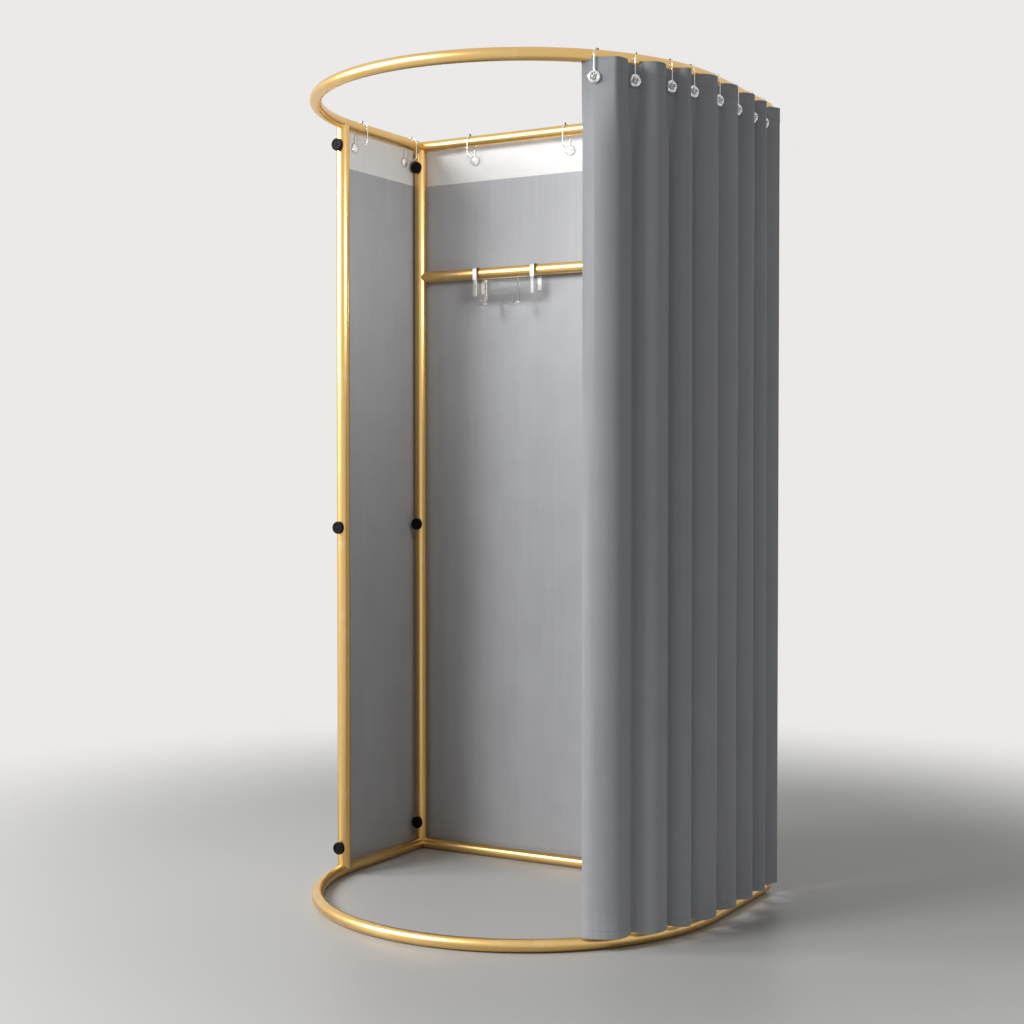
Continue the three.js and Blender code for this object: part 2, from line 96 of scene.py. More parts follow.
class Stretch(Enum):
    """Stretches of the curtain, from a hook to the next hook or to an edge."""

    FOLD = "fold"
    LEADING = "leading fold"
    REAR_EDGE = "rear edge"
    FRONT_EDGE = "front edge"

    @property
    def between_hooks(self) -> bool:
        """Whether the stretch ends at a hook as well."""
        return self in (Stretch.FOLD, Stretch.LEADING)


# Sizes that several pieces share


@dataclass(frozen=True)
class RingPlan:
    """The D-shaped plan of the rings and the heights of the frame."""

    bow_radius: float = 0.517
    side_length: float = 0.322
    tube_radius: float = 0.015
    low_ring: float = 0.015
    top_ring: float = 1.985
    post_radius: float = 0.0175
    front_post_reach: float = 0.380
    split_height: float = 0.890
    bar_height: float = 1.618
    bar_radius: float = 0.015
    seat: float = 0.0003

    @property
    def front_post_angle(self) -> float:
        """Angle of the front posts on the bow, from the rear of the round."""
        return math.asin((self.front_post_reach - self.side_length) / self.bow_radius)

    @property
    def front_post_length(self) -> float:
        """Length along the ring from a rear corner to its front post."""
        return self.side_length + self.front_post_angle * self.bow_radius

    def place(self, length: float, offset: float) -> tuple[float, float]:
        """Find a point beside the ring, on its right half.

        Args:
            length: Distance along the ring from the rear right corner.
            offset: Distance outwards from the tube's axis.

        Returns:
            The point's X and Y.
        """
        reach = self.bow_radius + offset
        if length <= self.side_length:
            return reach, -length
        angle = (length - self.side_length) / self.bow_radius
        return reach * math.cos(angle), -self.side_length - reach * math.sin(angle)

    def turn(self, length: float) -> float:
        """Angle of the outward direction at a length along the ring."""
        return -max(0.0, length - self.side_length) / self.bow_radius

    def outward(self, length: float) -> Point:
        """Find the outward direction at a length along the ring."""
        turn = self.turn(length)
        return math.cos(turn), math.sin(turn), 0.0

    def post_place(self, side: Side, front: bool) -> tuple[float, float]:
        """Find the X and Y of a post's axis."""
        x = side.value * self.bow_radius
        if front:
            return x * math.cos(self.front_post_angle), -self.front_post_reach
        return x, 0.0


PLAN = RingPlan()


# Meshes


def add_object(name: str, mesh: Mesh) -> Object:
    """Put a mesh into the scene as an object at the origin."""
    obj = bpy.data.objects.new(name, mesh)
    bpy.context.scene.collection.objects.link(obj)
    return obj


def dress(piece: Object, body: str, slot: Slot, *nodes: str) -> None:
    """Ride a piece on a body, in place of CAD nodes."""
    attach(piece, body)
    if nodes:
        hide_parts(*nodes)


def smooth(mesh: Mesh, crease: float = CREASE) -> Mesh:
    """Shade a mesh smooth, apart from the edges that are sharper than the crease."""
    mesh.polygons.foreach_set("use_smooth", [True] * len(mesh.polygons))
    mesh.set_sharp_from_angle(angle=crease)
    mesh.update()
    return mesh


def face_mesh(name: str, points: Sequence[Point], faces: Sequence[Sequence[int]]) -> Mesh:
    """Make a smooth mesh from its points and faces."""
    mesh = bpy.data.meshes.new(name)
    mesh.from_pydata([tuple(point) for point in points], [], [list(face) for face in faces])
    mesh.validate()
    return smooth(mesh)


def path_object(points: Sequence[Point]) -> Object:
    """Make a bare line of edges through the points, for a node tree to work on."""
    mesh = bpy.data.meshes.new("path")
    edges = [(i, i + 1) for i in range(len(points) - 1)]
    mesh.from_pydata([tuple(point) for point in points], edges, [])
    return add_object("path", mesh)


def joined(name: str, parts: Sequence[Mesh]) -> Mesh:
    """Join meshes into one, with the materials of all of them.

    Args:
        name: Name of the new mesh.
        parts: The meshes, which are removed afterwards.

    Returns:
        The joined mesh.
    """
    points, faces, slots, flags, finishes = [], [], [], [], []
    for part in parts:
        start = len(points)
        points.extend(tuple(vertex.co) for vertex in part.vertices)
        numbers = []
        for finish in part.materials:
            if finish not in finishes:
                finishes.append(finish)
            numbers.append(finishes.index(finish))
        for face in part.polygons:
            faces.append([start + corner for corner in face.vertices])
            slots.append(numbers[face.material_index] if numbers else 0)
            flags.append(face.use_smooth)
    mesh = bpy.data.meshes.new(name)
    mesh.from_pydata(points, [], faces)
    for finish in finishes:
        mesh.materials.append(finish)
    mesh.polygons.foreach_set("material_index", slots)
    mesh.polygons.foreach_set("use_smooth", flags)
    mesh.set_sharp_from_angle(angle=CREASE)
    mesh.update()
    for part in parts:
        bpy.data.meshes.remove(part)
    return mesh


def lathe_mesh(name: str, profile: Sequence[tuple[float, float]], steps: int) -> Mesh:
    """Turn a profile round the Z axis.

    Args:
        name: Name of the mesh.
        profile: Radius and height of each corner, from the bottom pole to the top one.
        steps: Number of steps round the axis.

    Returns:
        A closed mesh whose faces point outwards.
    """
    inner = profile[1:-1]
    points = [(0.0, 0.0, profile[0][1]), (0.0, 0.0, profile[-1][1])]
    for radius, height in inner:
        for step in range(steps):
            angle = 2 * math.pi * step / steps
            points.append((radius * math.cos(angle), radius * math.sin(angle), height))
    faces = []
    for step in range(steps):
        after = (step + 1) % steps
        for ring in range(len(inner) - 1):
            low, high = 2 + ring * steps, 2 + (ring + 1) * steps
            faces.append((low + step, low + after, high + after, high + step))
        last = 2 + (len(inner) - 1) * steps
        faces.append((0, 2 + after, 2 + step))
        faces.append((1, last + step, last + after))
    return face_mesh(name, points, faces)


def bent_strip(name: str, route: Sequence[tuple[float, float]], width: float,
               thickness: float, place: Point) -> Mesh:
    """Bend a flat strip along a route in the YZ plane.

    Args:
        name: Name of the mesh.
        route: Y and Z of the strip's middle line, from the place.
        width: Width of the strip along X.
        thickness: Thickness of the strip across the route.
        place: Where the route's origin is.

    Returns:
        A closed mesh with eight sides, so that its long edges are rounded.
    """
    line = np.array(route, float)
    along = np.gradient(line, axis=0)
    along /= np.linalg.norm(along, axis=1)[:, None]
    across = np.stack([along[:, 1], -along[:, 0]], axis=1)
    half, deep = width / 2, thickness / 2
    round_off = min(half, deep) * 0.5
    section = [
        (-half, -deep + round_off), (-half + round_off, -deep), (half - round_off, -deep),
        (half, -deep + round_off), (half, deep - round_off), (half - round_off, deep),
        (-half + round_off, deep), (-half, deep - round_off),
    ]
    points, faces = [], []
    count = len(section)
    for spot, normal in zip(line, across):
        for side, depth in section:
            y, z = spot + normal * depth
            points.append((place[0] + side, place[1] + y, place[2] + z))
    for ring in range(len(line) - 1):
        for step in range(count):
            after = (step + 1) % count
            low, high = ring * count, (ring + 1) * count
            faces.append((low + step, high + step, high + after, low + after))
    faces.append(tuple(range(count)))
    last = (len(line) - 1) * count
    faces.append(tuple(last + step for step in reversed(range(count))))
    return face_mesh(name, points, faces)


def arc(centre: tuple[float, float], radius: float, start: float, end: float,
        steps: int) -> list[tuple[float, float]]:
    """List points on an arc, with its angles in degrees."""
    points = []
    for step in range(steps + 1):
        angle = math.radians(start + (end - start) * step / steps)
        points.append((centre[0] + radius * math.cos(angle), centre[1] + radius * math.sin(angle)))
    return points


# Node trees that make what repeats or follows a path


def plug(tree: NodeTree, value: object, socket: NodeSocket) -> None:
    """Link a socket to an input, or set the input to a plain value."""
    if isinstance(value, NodeSocket):
        tree.links.new(value, socket)
    else:
        socket.default_value = value


def add_node(tree: NodeTree, kind: str, settings: dict[str, object] | None = None,
             **links: object) -> Node:
    """Add a node to a tree.

    Args:
        tree: The tree.
        kind: The node's type.
        settings: The node's own settings. Some of them decide which inputs it has.
        links: Values or sockets for its inputs, with spaces in their names as underscores.

    Returns:
        The new node.
    """
    node = tree.nodes.new(kind)
    for label, value in (settings or {}).items():
        setattr(node, label, value)
    for label, value in links.items():
        plug(tree, value, node.inputs[label.replace("_", " ")])
    return node


class NodeGroup:
    """A node group with named inputs and outputs, made once and shared."""

    title: str
    family: str
    inputs: tuple[tuple, ...] = ()
    outputs: tuple[tuple, ...] = ()

    def __init__(self) -> None:
        """Make the group with its sockets and its nodes."""
        self.tree = bpy.data.node_groups.new(self.title, self.family)
        for way, sockets in (("INPUT", self.inputs), ("OUTPUT", self.outputs)):
            for label, kind, *value in sockets:
                socket = self.tree.interface.new_socket(name=label, in_out=way, socket_type=kind)
                if value:
                    socket.default_value = value[0]
        self.entry = self.tree.nodes.new("NodeGroupInput")
        self.leave = self.tree.nodes.new("NodeGroupOutput")
        self.build()

    def build(self) -> None:
        """Make the group's own nodes."""
        raise NotImplementedError

    def given(self, label: str) -> NodeSocket:
        """Find one of the group's inputs."""
        return self.entry.outputs[label]

    def node(self, kind: str, settings: dict[str, object] | None = None,
             **links: object) -> Node:
        """Add a node to this group, as add_node does."""
        return add_node(self.tree, kind, settings, **links)


GEOMETRY = ("Geometry", "NodeSocketGeometry")
FINISH = ("Finish", "NodeSocketMaterial")


class PieceTree(NodeGroup):
    """A Geometry Nodes tree that is run once on a piece and then taken off."""

    family = "GeometryNodeTree"
    outputs = (GEOMETRY,)

    def build(self) -> None:
        """End the tree's shape in real geometry with its finish."""
        real = self.node("GeometryNodeRealizeInstances", Geometry=self.shape())
        dressed = self.node("GeometryNodeSetMaterial", Geometry=real.outputs[0],
                            Material=self.given("Finish"))
        self.tree.links.new(dressed.outputs[0], self.leave.inputs[0])

    def shape(self) -> NodeSocket:
        """Make the tree's own nodes and return the geometry that they end in."""
        raise NotImplementedError

    def run(self, source: Object, **values: object) -> Mesh:
        """Run the tree on an object and remove that object.

        Args:
            source: The object that the tree works on.
            values: Values for the tree's named inputs.

        Returns:
            The plain mesh that the tree made.
        """
        modifier = source.modifiers.new(self.title, "NODES")
        modifier.node_group = self.tree
        for item in self.tree.interface.items_tree:
            if item.in_out == "INPUT" and item.name in values:
                modifier[item.identifier] = values[item.name]
        shown = source.evaluated_get(bpy.context.evaluated_depsgraph_get())
        mesh = bpy.data.meshes.new_from_object(shown)
        source.modifiers.remove(modifier)
        bare = source.data
        bpy.data.objects.remove(source)
        bpy.data.meshes.remove(bare)
        return smooth(mesh)


class TubeTree(PieceTree):
    """A round tube or wire that follows a line."""

    title = "tube_along_line"
    inputs = (GEOMETRY, ("Radius", "NodeSocketFloat"), ("Sides", "NodeSocketInt"), FINISH)

    def shape(self) -> NodeSocket:
        """Sweep a circle along the line and close its ends."""
        line = self.node("GeometryNodeMeshToCurve", Mesh=self.given("Geometry"))
        ring = self.node("GeometryNodeCurvePrimitiveCircle", Resolution=self.given("Sides"),
                         Radius=self.given("Radius"))
        tube = self.node("GeometryNodeCurveToMesh", Curve=line.outputs[0],
                         Profile_Curve=ring.outputs[0], Fill_Caps=True)
        return tube.outputs[0]


class StitchTree(PieceTree):
    """A row of sewn stitches along a line."""

    title = "stitch_row"
    inputs = (GEOMETRY, ("Spacing", "NodeSocketFloat"), ("Length", "NodeSocketFloat"),
              ("Thread", "NodeSocketFloat"), FINISH)

    def shape(self) -> NodeSocket:
        """Lay a small rounded stitch along the line at each step."""
        line = self.node("GeometryNodeMeshToCurve", Mesh=self.given("Geometry"))
        steps = self.node("GeometryNodeResampleCurve", {"mode": "LENGTH"}, Curve=line.outputs[0],
                          Length=self.given("Spacing"))
        bead = self.node("GeometryNodeMeshUVSphere", Segments=6, Rings=4, Radius=0.5)
        size = self.node("ShaderNodeCombineXYZ", X=self.given("Length"), Y=self.given("Thread"),
                         Z=self.given("Thread"))
        shaped = self.node("GeometryNodeTransform", Geometry=bead.outputs[0], Scale=size.outputs[0])
        heading = self.node("GeometryNodeInputTangent")
        turned = self.node("FunctionNodeAlignRotationToVector", {"axis": "X"},
                           Vector=heading.outputs[0])
        row = self.node("GeometryNodeInstanceOnPoints", Points=steps.outputs[0],
                        Instance=shaped.outputs[0], Rotation=turned.outputs[0])
        return row.outputs[0]


class GripTree(PieceTree):
    """Grip ribs round a turned knob, whose axis is Z."""

    title = "grip_ribs"
    inputs = (GEOMETRY, ("Count", "NodeSocketInt"), ("Ring", "NodeSocketFloat"),
              ("Rib", "NodeSocketFloat"), ("Length", "NodeSocketFloat"),
              ("Height", "NodeSocketFloat"), FINISH)

    def shape(self) -> NodeSocket:
        """Stand a rib at each step round the knob and keep the knob itself."""
        ring = self.node("GeometryNodeMeshCircle", Vertices=self.given("Count"),
                         Radius=self.given("Ring"))
        rib = self.node("GeometryNodeMeshCylinder", Vertices=8, Radius=self.given("Rib"),
                        Depth=self.given("Length"))
        ribs = self.node("GeometryNodeInstanceOnPoints", Points=ring.outputs[0],
                         Instance=rib.outputs[0])
        lift = self.node("ShaderNodeCombineXYZ", Z=self.given("Height"))
        raised = self.node("GeometryNodeTransform", Geometry=ribs.outputs[0],
                           Translation=lift.outputs[0])
        both = self.node("GeometryNodeJoinGeometry")
        for geometry in (self.given("Geometry"), raised.outputs[0]):
            self.tree.links.new(geometry, both.inputs[0])
        return both.outputs[0]


@dataclass
class Workshop:
    """The node trees that the sub-assemblies share."""

    tube: TubeTree = field(default_factory=TubeTree)
    stitches: StitchTree = field(default_factory=StitchTree)
    grip: GripTree = field(default_factory=GripTree)

    def tube_mesh(self, points: Sequence[Point], radius: float, sides: int,
                  finish: Material) -> Mesh:
        """Sweep a tube through the points."""
        return self.tube.run(path_object(points), Radius=radius, Sides=sides, Finish=finish)


# Finishes


def math_node(tree: NodeTree, kind: str, first: object, second: object) -> NodeSocket:
    """Add a sum of two values or sockets and return its result."""
    node = add_node(tree, "ShaderNodeMath", {"operation": kind})
    plug(tree, first, node.inputs[0])
    plug(tree, second, node.inputs[1])
    return node.outputs[0]


def ranged(tree: NodeTree, value: NodeSocket, levels: Band, to: Band,
           kind: str = "LINEAR") -> NodeSocket:
    """Map a value from one range onto another, held at its ends."""
    node = add_node(tree, "ShaderNodeMapRange", {"interpolation_type": kind}, Value=value,
                    From_Min=levels[0], From_Max=levels[1], To_Min=to[0], To_Max=to[1])
    return node.outputs[0]


def mixed(tree: NodeTree, factor: NodeSocket, first: Colour,
          second: Colour) -> NodeSocket:
    """Blend two colours by a factor and return the colour's socket."""
    node = add_node(tree, "ShaderNodeMix", {"data_type": "RGBA"}, Factor=factor, A=first, B=second)
    return node.outputs["Result"]


class ShaderGroup(NodeGroup):
    """A shader node group that turns a place into masks, colours and heights."""

    family = "ShaderNodeTree"

    def noise(self, place: NodeSocket, grain: Band) -> NodeSocket:
        """Add a noise of a scale and a detail and return its value."""
        return self.node("ShaderNodeTexNoise", Vector=place, Scale=grain[0], Detail=grain[1]).outputs[0]

    def weighed(self, *shares: tuple[NodeSocket, object]) -> NodeSocket:
        """Add up values, each times its weight."""
        total = None
        for value, weight in shares:
            part = math_node(self.tree, "MULTIPLY", value, weight)
            total = part if total is None else math_node(self.tree, "ADD", total, part)
        return total

    def give(self, **results: NodeSocket) -> None:
        """Lead sockets to the group's outputs."""
        for label, socket in results.items():
            self.tree.links.new(socket, self.leave.inputs[label])


class NapGroup(ShaderGroup):
    """Suede-like cloth: soft clouds, brushed streaks, a fine nap and a plain weave under it.

    Clouds, streaks and nap each have a noise scale and detail. The shares say how
    much of each goes into the shade or the height.
    """

    title = "cloth_nap"
    inputs = (("Place", "NodeSocketVector"), ("Pitch", "NodeSocketFloat", 1100.0),
              ("Mottle", "NodeSocketFloat", 0.5))
    outputs = (("Shade", "NodeSocketFloat"), ("Height", "NodeSocketFloat"))
    clouds: Band = (9.0, 4.0)
    streaks: Band = (70.0, 4.0)
    streak_stretch: Point = (1.0, 0.05, 1.0)
    nap: Band = (620.0, 3.0)
    noise_band: Band = (0.3, 0.7)
    swing: Band = (-0.5, 0.5)
    streak_share: float = 0.18
    nap_share: float = 0.3
    shade_level: float = 0.35
    nap_height: float = 0.6
    weave_height: float = 0.4
    thread_wobble: float = 0.6

    def build(self) -> None:
        """Mix the clouds, the brushed streaks, the nap and the weave."""
        tree, place, band = self.tree, self.given("Place"), self.noise_band
        drawn = self.node("ShaderNodeVectorMath", {"operation": "MULTIPLY"})
        plug(tree, place, drawn.inputs[0])
        plug(tree, self.streak_stretch, drawn.inputs[1])
        clouds = ranged(tree, self.noise(place, self.clouds), band, self.swing)
        streaks = ranged(tree, self.noise(drawn.outputs[0], self.streaks), band, self.swing)
        nap = ranged(tree, self.noise(place, self.nap), band, (0.0, 1.0))
        threads = [self.node("ShaderNodeTexWave", {"bands_direction": direction}, Vector=place,
                             Scale=self.given("Pitch"), Distortion=self.thread_wobble, Detail=0.0)
                   for direction in ("X", "Y")]
        weave = math_node(tree, "MULTIPLY", threads[0].outputs["Fac"], threads[1].outputs["Fac"])
        shade = self.weighed((clouds, self.given("Mottle")), (streaks, self.streak_share),
                             (nap, self.nap_share))
        self.give(Shade=math_node(tree, "ADD", shade, self.shade_level),
                  Height=self.weighed((nap, self.nap_height), (weave, self.weave_height)))


class RubGroup(ShaderGroup):
    """Metal or plastic skin: fine grain, faint rub marks and a soft orange peel."""

    title = "skin_rub"
    inputs = (("Place", "NodeSocketVector"),)
    outputs = (("Grain", "NodeSocketFloat"), ("Rub", "NodeSocketFloat"), ("Height", "NodeSocketFloat"))
    grain: Band = (900.0, 2.0)
    peel: Band = (160.0, 2.0)
    marks: Band = (24.0, 8.0)
    mark_band: Band = (0.56, 0.72)
    grain_height: float = 0.35
    peel_height: float = 0.65

    def build(self) -> None:
        """Mix the grain, the marks and the peel."""
        place = self.given("Place")
        grain, peel = self.noise(place, self.grain), self.noise(place, self.peel)
        marks = ranged(self.tree, self.noise(place, self.marks), self.mark_band, (0.0, 1.0))
        self.give(Grain=grain, Rub=marks,
                  Height=self.weighed((grain, self.grain_height), (peel, self.peel_height)))


@dataclass(frozen=True)
class Finish:
    """Shared work of the finishes: a principled material with one named group in it.

    Attributes:
        title: Name of the material.
        first: Its colour where the group's mask is 0.
        second: Its colour where the mask is 1.
    """

    title: str
    first: Colour
    second: Colour

    def start(self, shared: ShaderGroup, mask: str, chart: str, output: str,
              settings: dict[str, object] | None = None) -> tuple:
        """Make the material with its group and its colour.

        Args:
            shared: The group.
            mask: The output of the group that blends the two colours.
            chart: Type of the node that gives the place.
            output: The output of that node.
            settings: Settings of that node.

        Returns:
            The material, its tree, its shader and the group's node.
        """
        material = bpy.data.materials.new(self.title)
        material.use_nodes = True
        tree = material.node_tree
        shader = tree.nodes["Principled BSDF"]
        place = add_node(tree, chart, settings).outputs[output]
        group = add_node(tree, "ShaderNodeGroup", {"node_tree": shared.tree}, Place=place)
        colour = mixed(tree, group.outputs[mask], self.first, self.second)
        plug(tree, colour, shader.inputs["Base Color"])
        return material, tree, shader, group

    @staticmethod
    def bump(tree: NodeTree, shader: Node, height: NodeSocket,
             depth: float) -> None:
        """Raise the surface by a height of up to the depth."""
        node = add_node(tree, "ShaderNodeBump", Distance=depth, Height=height)
        plug(tree, node.outputs["Normal"], shader.inputs["Normal"])


@dataclass(frozen=True)
class ClothFinish(Finish):
    """A brushed cloth whose pattern follows the piece's own map, in metres."""

    mottle: float
    sheen: float = 0.3
    sheen_roughness: float = 0.4
    roughness: float = 0.92
    specular: float = 0.2
    weave_depth: float = 0.00025

    def make(self, nap: NapGroup) -> Material:
        """Make the material from the nap group."""
        material, tree, shader, group = self.start(nap, "Shade", "ShaderNodeUVMap", "UV",
                                                   {"uv_map": "cloth"})
        plug(tree, self.mottle, group.inputs["Mottle"])
        plug(tree, self.roughness, shader.inputs["Roughness"])
        plug(tree, self.sheen, shader.inputs["Sheen Weight"])
        plug(tree, self.sheen_roughness, shader.inputs["Sheen Roughness"])
        plug(tree, self.specular, shader.inputs["Specular IOR Level"])
        self.bump(tree, shader, group.outputs["Height"], self.weave_depth)
        return material


@dataclass(frozen=True)
class SkinFinish(Finish):
    """Metal or moulded plastic with grain and rub marks."""

    metallic: float = 0.0
    roughness: Band = (0.3, 0.42)
    specular: float = 0.5
    depth: float = 0.00003

    def make(self, rub: RubGroup) -> Material:
        """Make the material from the rub group."""
        material, tree, shader, group = self.start(rub, "Rub", "ShaderNodeTexCoord", "Object")
        roughness = ranged(tree, group.outputs["Grain"], (0.0, 1.0), self.roughness)
        plug(tree, roughness, shader.inputs["Roughness"])
        plug(tree, self.metallic, shader.inputs["Metallic"])
        plug(tree, self.specular, shader.inputs["Specular IOR Level"])
        self.bump(tree, shader, group.outputs["Height"], self.depth)
        return material


@dataclass(frozen=True)
class ClearFinish(Finish):
    """Clear moulded plastic, polished, with faint handling marks."""

    roughness: Band = (0.02, 0.1)
    refraction: float = 1.49

    def make(self, rub: RubGroup) -> Material:
        """Make the material from the rub group."""
        material, tree, shader, group = self.start(rub, "Rub", "ShaderNodeTexCoord", "Object")
        roughness = ranged(tree, group.outputs["Rub"], (0.0, 1.0), self.roughness)
        plug(tree, roughness, shader.inputs["Roughness"])
        plug(tree, 1.0, shader.inputs["Transmission Weight"])
        plug(tree, self.refraction, shader.inputs["IOR"])
        return material


@dataclass
class Palette:
    """The finishes of the fitting room."""

    nap: NapGroup = field(default_factory=NapGroup)
    rub: RubGroup = field(default_factory=RubGroup)

    def __post_init__(self) -> None:
        """Make the materials."""
        self.gold = self.skin("satin_gold", (0.78, 0.52, 0.20), (0.81, 0.57, 0.26), metallic=1.0,
                              roughness=(0.28, 0.36))
        self.black = self.skin("black_knob", (0.004, 0.004, 0.004), (0.010, 0.010, 0.010),
                               roughness=(0.5, 0.62), specular=0.1)
        self.grey = self.cloth("grey_cloth", (0.318, 0.324, 0.341), (0.414, 0.421, 0.439), mottle=0.25)
        self.curtain = self.cloth("curtain_cloth", (0.340, 0.347, 0.364), (0.446, 0.454, 0.472),
                                  mottle=0.2)
        self.white = self.cloth("white_cloth", (0.63, 0.635, 0.64), (0.70, 0.70, 0.70), sheen=0.1,
                                mottle=0.2)
        self.grey_thread = self.skin("grey_thread", (0.15, 0.153, 0.16), (0.20, 0.205, 0.21),
                                     roughness=(0.7, 0.9))
        self.pale_thread = self.skin("pale_thread", (0.66, 0.66, 0.66), (0.76, 0.76, 0.75),
                                     roughness=(0.7, 0.9))
        self.wire = self.skin("bright_wire", (0.84, 0.84, 0.83), (0.74, 0.74, 0.73), metallic=0.75,
                              roughness=(0.18, 0.3))
        self.strap = self.skin("brushed_strap", (0.52, 0.53, 0.54), (0.44, 0.45, 0.46), metallic=0.5,
                               roughness=(0.38, 0.5))
        self.clear = ClearFinish("clear_plate", (0.97, 0.98, 0.98, 1), (0.93, 0.94, 0.94, 1)).make(self.rub)
        # Painted shade: the darker grey that the cut discs' facets get in their cuts.
        self.painted_facet_shade = self.skin("disc_groove", (0.26, 0.265, 0.27), (0.34, 0.345, 0.35),
                                roughness=(0.2, 0.3))
        self.crystal = self.skin("cut_disc", (0.92, 0.92, 0.93), (0.84, 0.84, 0.85), metallic=0.65,
                                 roughness=(0.08, 0.18))

    def skin(self, title: str, base: Point, rubbed: Point, **looks: object) -> Material:
        """Make a metal or a plastic from its two tones."""
        return SkinFinish(title, (*base, 1), (*rubbed, 1), **looks).make(self.rub)

    def cloth(self, title: str, dark: Point, light: Point, **looks: object) -> Material:
        """Make a cloth from its two tones."""
        return ClothFinish(title, (*dark, 1), (*light, 1), **looks).make(self.nap)


# The frame's tubes


@dataclass
class TubeFrame:
    """The two rings, the four posts and the hanging bar."""

    palette: Palette
    shop: Workshop
    sides: int = 40
    bow_steps: int = 96
    cope_lift: float = 0.005
    mitre_gap: float = 0.00021

    def tube(self, points: Sequence[Point], radius: float) -> Mesh:
        """Sweep a gold tube through the points."""
        return self.shop.tube_mesh(points, radius, self.sides, self.palette.gold)

    @staticmethod
    def fit(mesh: Mesh, end: Point, heading: Point, shift: Callable[[Vector], float]) -> None:
        """Move one end of a tube onto what it meets.

        Args:
            mesh: The tube.
            end: The middle of that end.
            heading: The direction out of the tube there.
            shift: Gives, for an offset from the middle, how far its edge moves outwards.
        """
        middle, out = Vector(end), Vector(heading)
        for vertex in mesh.vertices:
            offset = vertex.co - middle
            if abs(offset.dot(out)) < ON_END and offset.length < 2 * PLAN.post_radius:
                vertex.co += out * shift(offset)
        mesh.update()

    @staticmethod
    def place(name: str, mesh: Mesh, *nodes: str) -> None:
        """Ride a tube on the frame in place of its CAD nodes."""
        dress(add_object(name, smooth(mesh)), "frame", Slot.GOLD, *nodes)
        LOG.info("%s", name)

    def add_ring(self, prefix: str, height: float) -> None:
        """Build one ring: its bow and its back rail, mitred at the corners."""
        radius, straight = PLAN.bow_radius, PLAN.side_length
        corners = [(-radius, 0.0, height), (radius, 0.0, height)]
        round_points = []
        for step in range(self.bow_steps + 1):
            angle = math.pi * (1 + step / self.bow_steps)
            round_points.append((radius * math.cos(angle), radius * math.sin(angle) - straight, height))
        bow = self.tube([corners[0], *round_points, corners[1]], PLAN.tube_radius)
        rail = self.tube(corners, PLAN.tube_radius)
        for corner, sign in zip(corners, (-1, 1)):
            self.fit(bow, corner, (0, 1, 0), lambda u, s=sign: s * u.x - self.mitre_gap)
            self.fit(rail, corner, (sign, 0, 0), lambda u: u.y - self.mitre_gap)
        self.place(f"tube_{prefix}_bow", bow, f"{prefix}_bow")
        self.place(f"tube_{prefix}_back_rail", rail, f"{prefix}_back_rail")

    def cope(self, side: Side, front: bool) -> Callable[[Vector], float]:
        """Say how far a post's end stands back from the ring's axis.

        Args:
            side: The post's side.
            front: Whether the post is a front one, on the bow.

        Returns:
            A function of the offset from the post's axis.
        """
        seat = PLAN.tube_radius + PLAN.seat
        angle = PLAN.front_post_angle
        across = Vector((side.value * math.cos(angle), -math.sin(angle), 0))

        def stand_off(offset: Vector) -> float:
            if front:
                reach = offset.dot(across)
            else:
                reach = offset.x if offset.y < side.value * offset.x else offset.y
            return max(self.cope_lift, math.sqrt(max(0.0, seat**2 - reach**2)))

        return stand_off

    def add_post(self, side: Side, front: bool) -> None:
        """Build one post: a lower and an upper tube, coped onto the rings."""
        name = f"{'front' if front else 'rear'}_{side.name.lower()}"
        x, y = PLAN.post_place(side, front)
        stand_off = self.cope(side, front)
        halves = (("lower", PLAN.low_ring, -1, (f"{name}_joiner",)), ("upper", PLAN.top_ring, 1, ()))
        for part, ring, out, inside in halves:
            joint = PLAN.split_height + out * PLAN.seat / 2
            tube = self.tube([(x, y, min(ring, joint)), (x, y, max(ring, joint))], PLAN.post_radius)
            self.fit(tube, (x, y, ring), (0, 0, out), lambda u: -stand_off(u))
            self.place(f"tube_{name}_{part}", tube, f"{name}_post_{part}", *inside)

    def add_bar(self) -> None:
        """Build the hanging bar, coped onto the rear posts."""
        ends = [(sign * PLAN.bow_radius, 0.0, PLAN.bar_height) for sign in (-1, 1)]
        bar = self.tube(ends, PLAN.bar_radius)
        seat = PLAN.post_radius + PLAN.seat
        for end, sign in zip(ends, (-1, 1)):
            self.fit(bar, end, (sign, 0, 0), lambda u: -math.sqrt(seat**2 - u.y**2))
        self.place("tube_hanging_bar", bar, "crossbar")

    def build(self) -> None:
        """Build every tube of the frame."""
        self.add_ring("bottom", PLAN.low_ring)
        self.add_ring("top", PLAN.top_ring)
        for side in Side:
            self.add_post(side, front=False)
            self.add_post(side, front=True)
        self.add_bar()


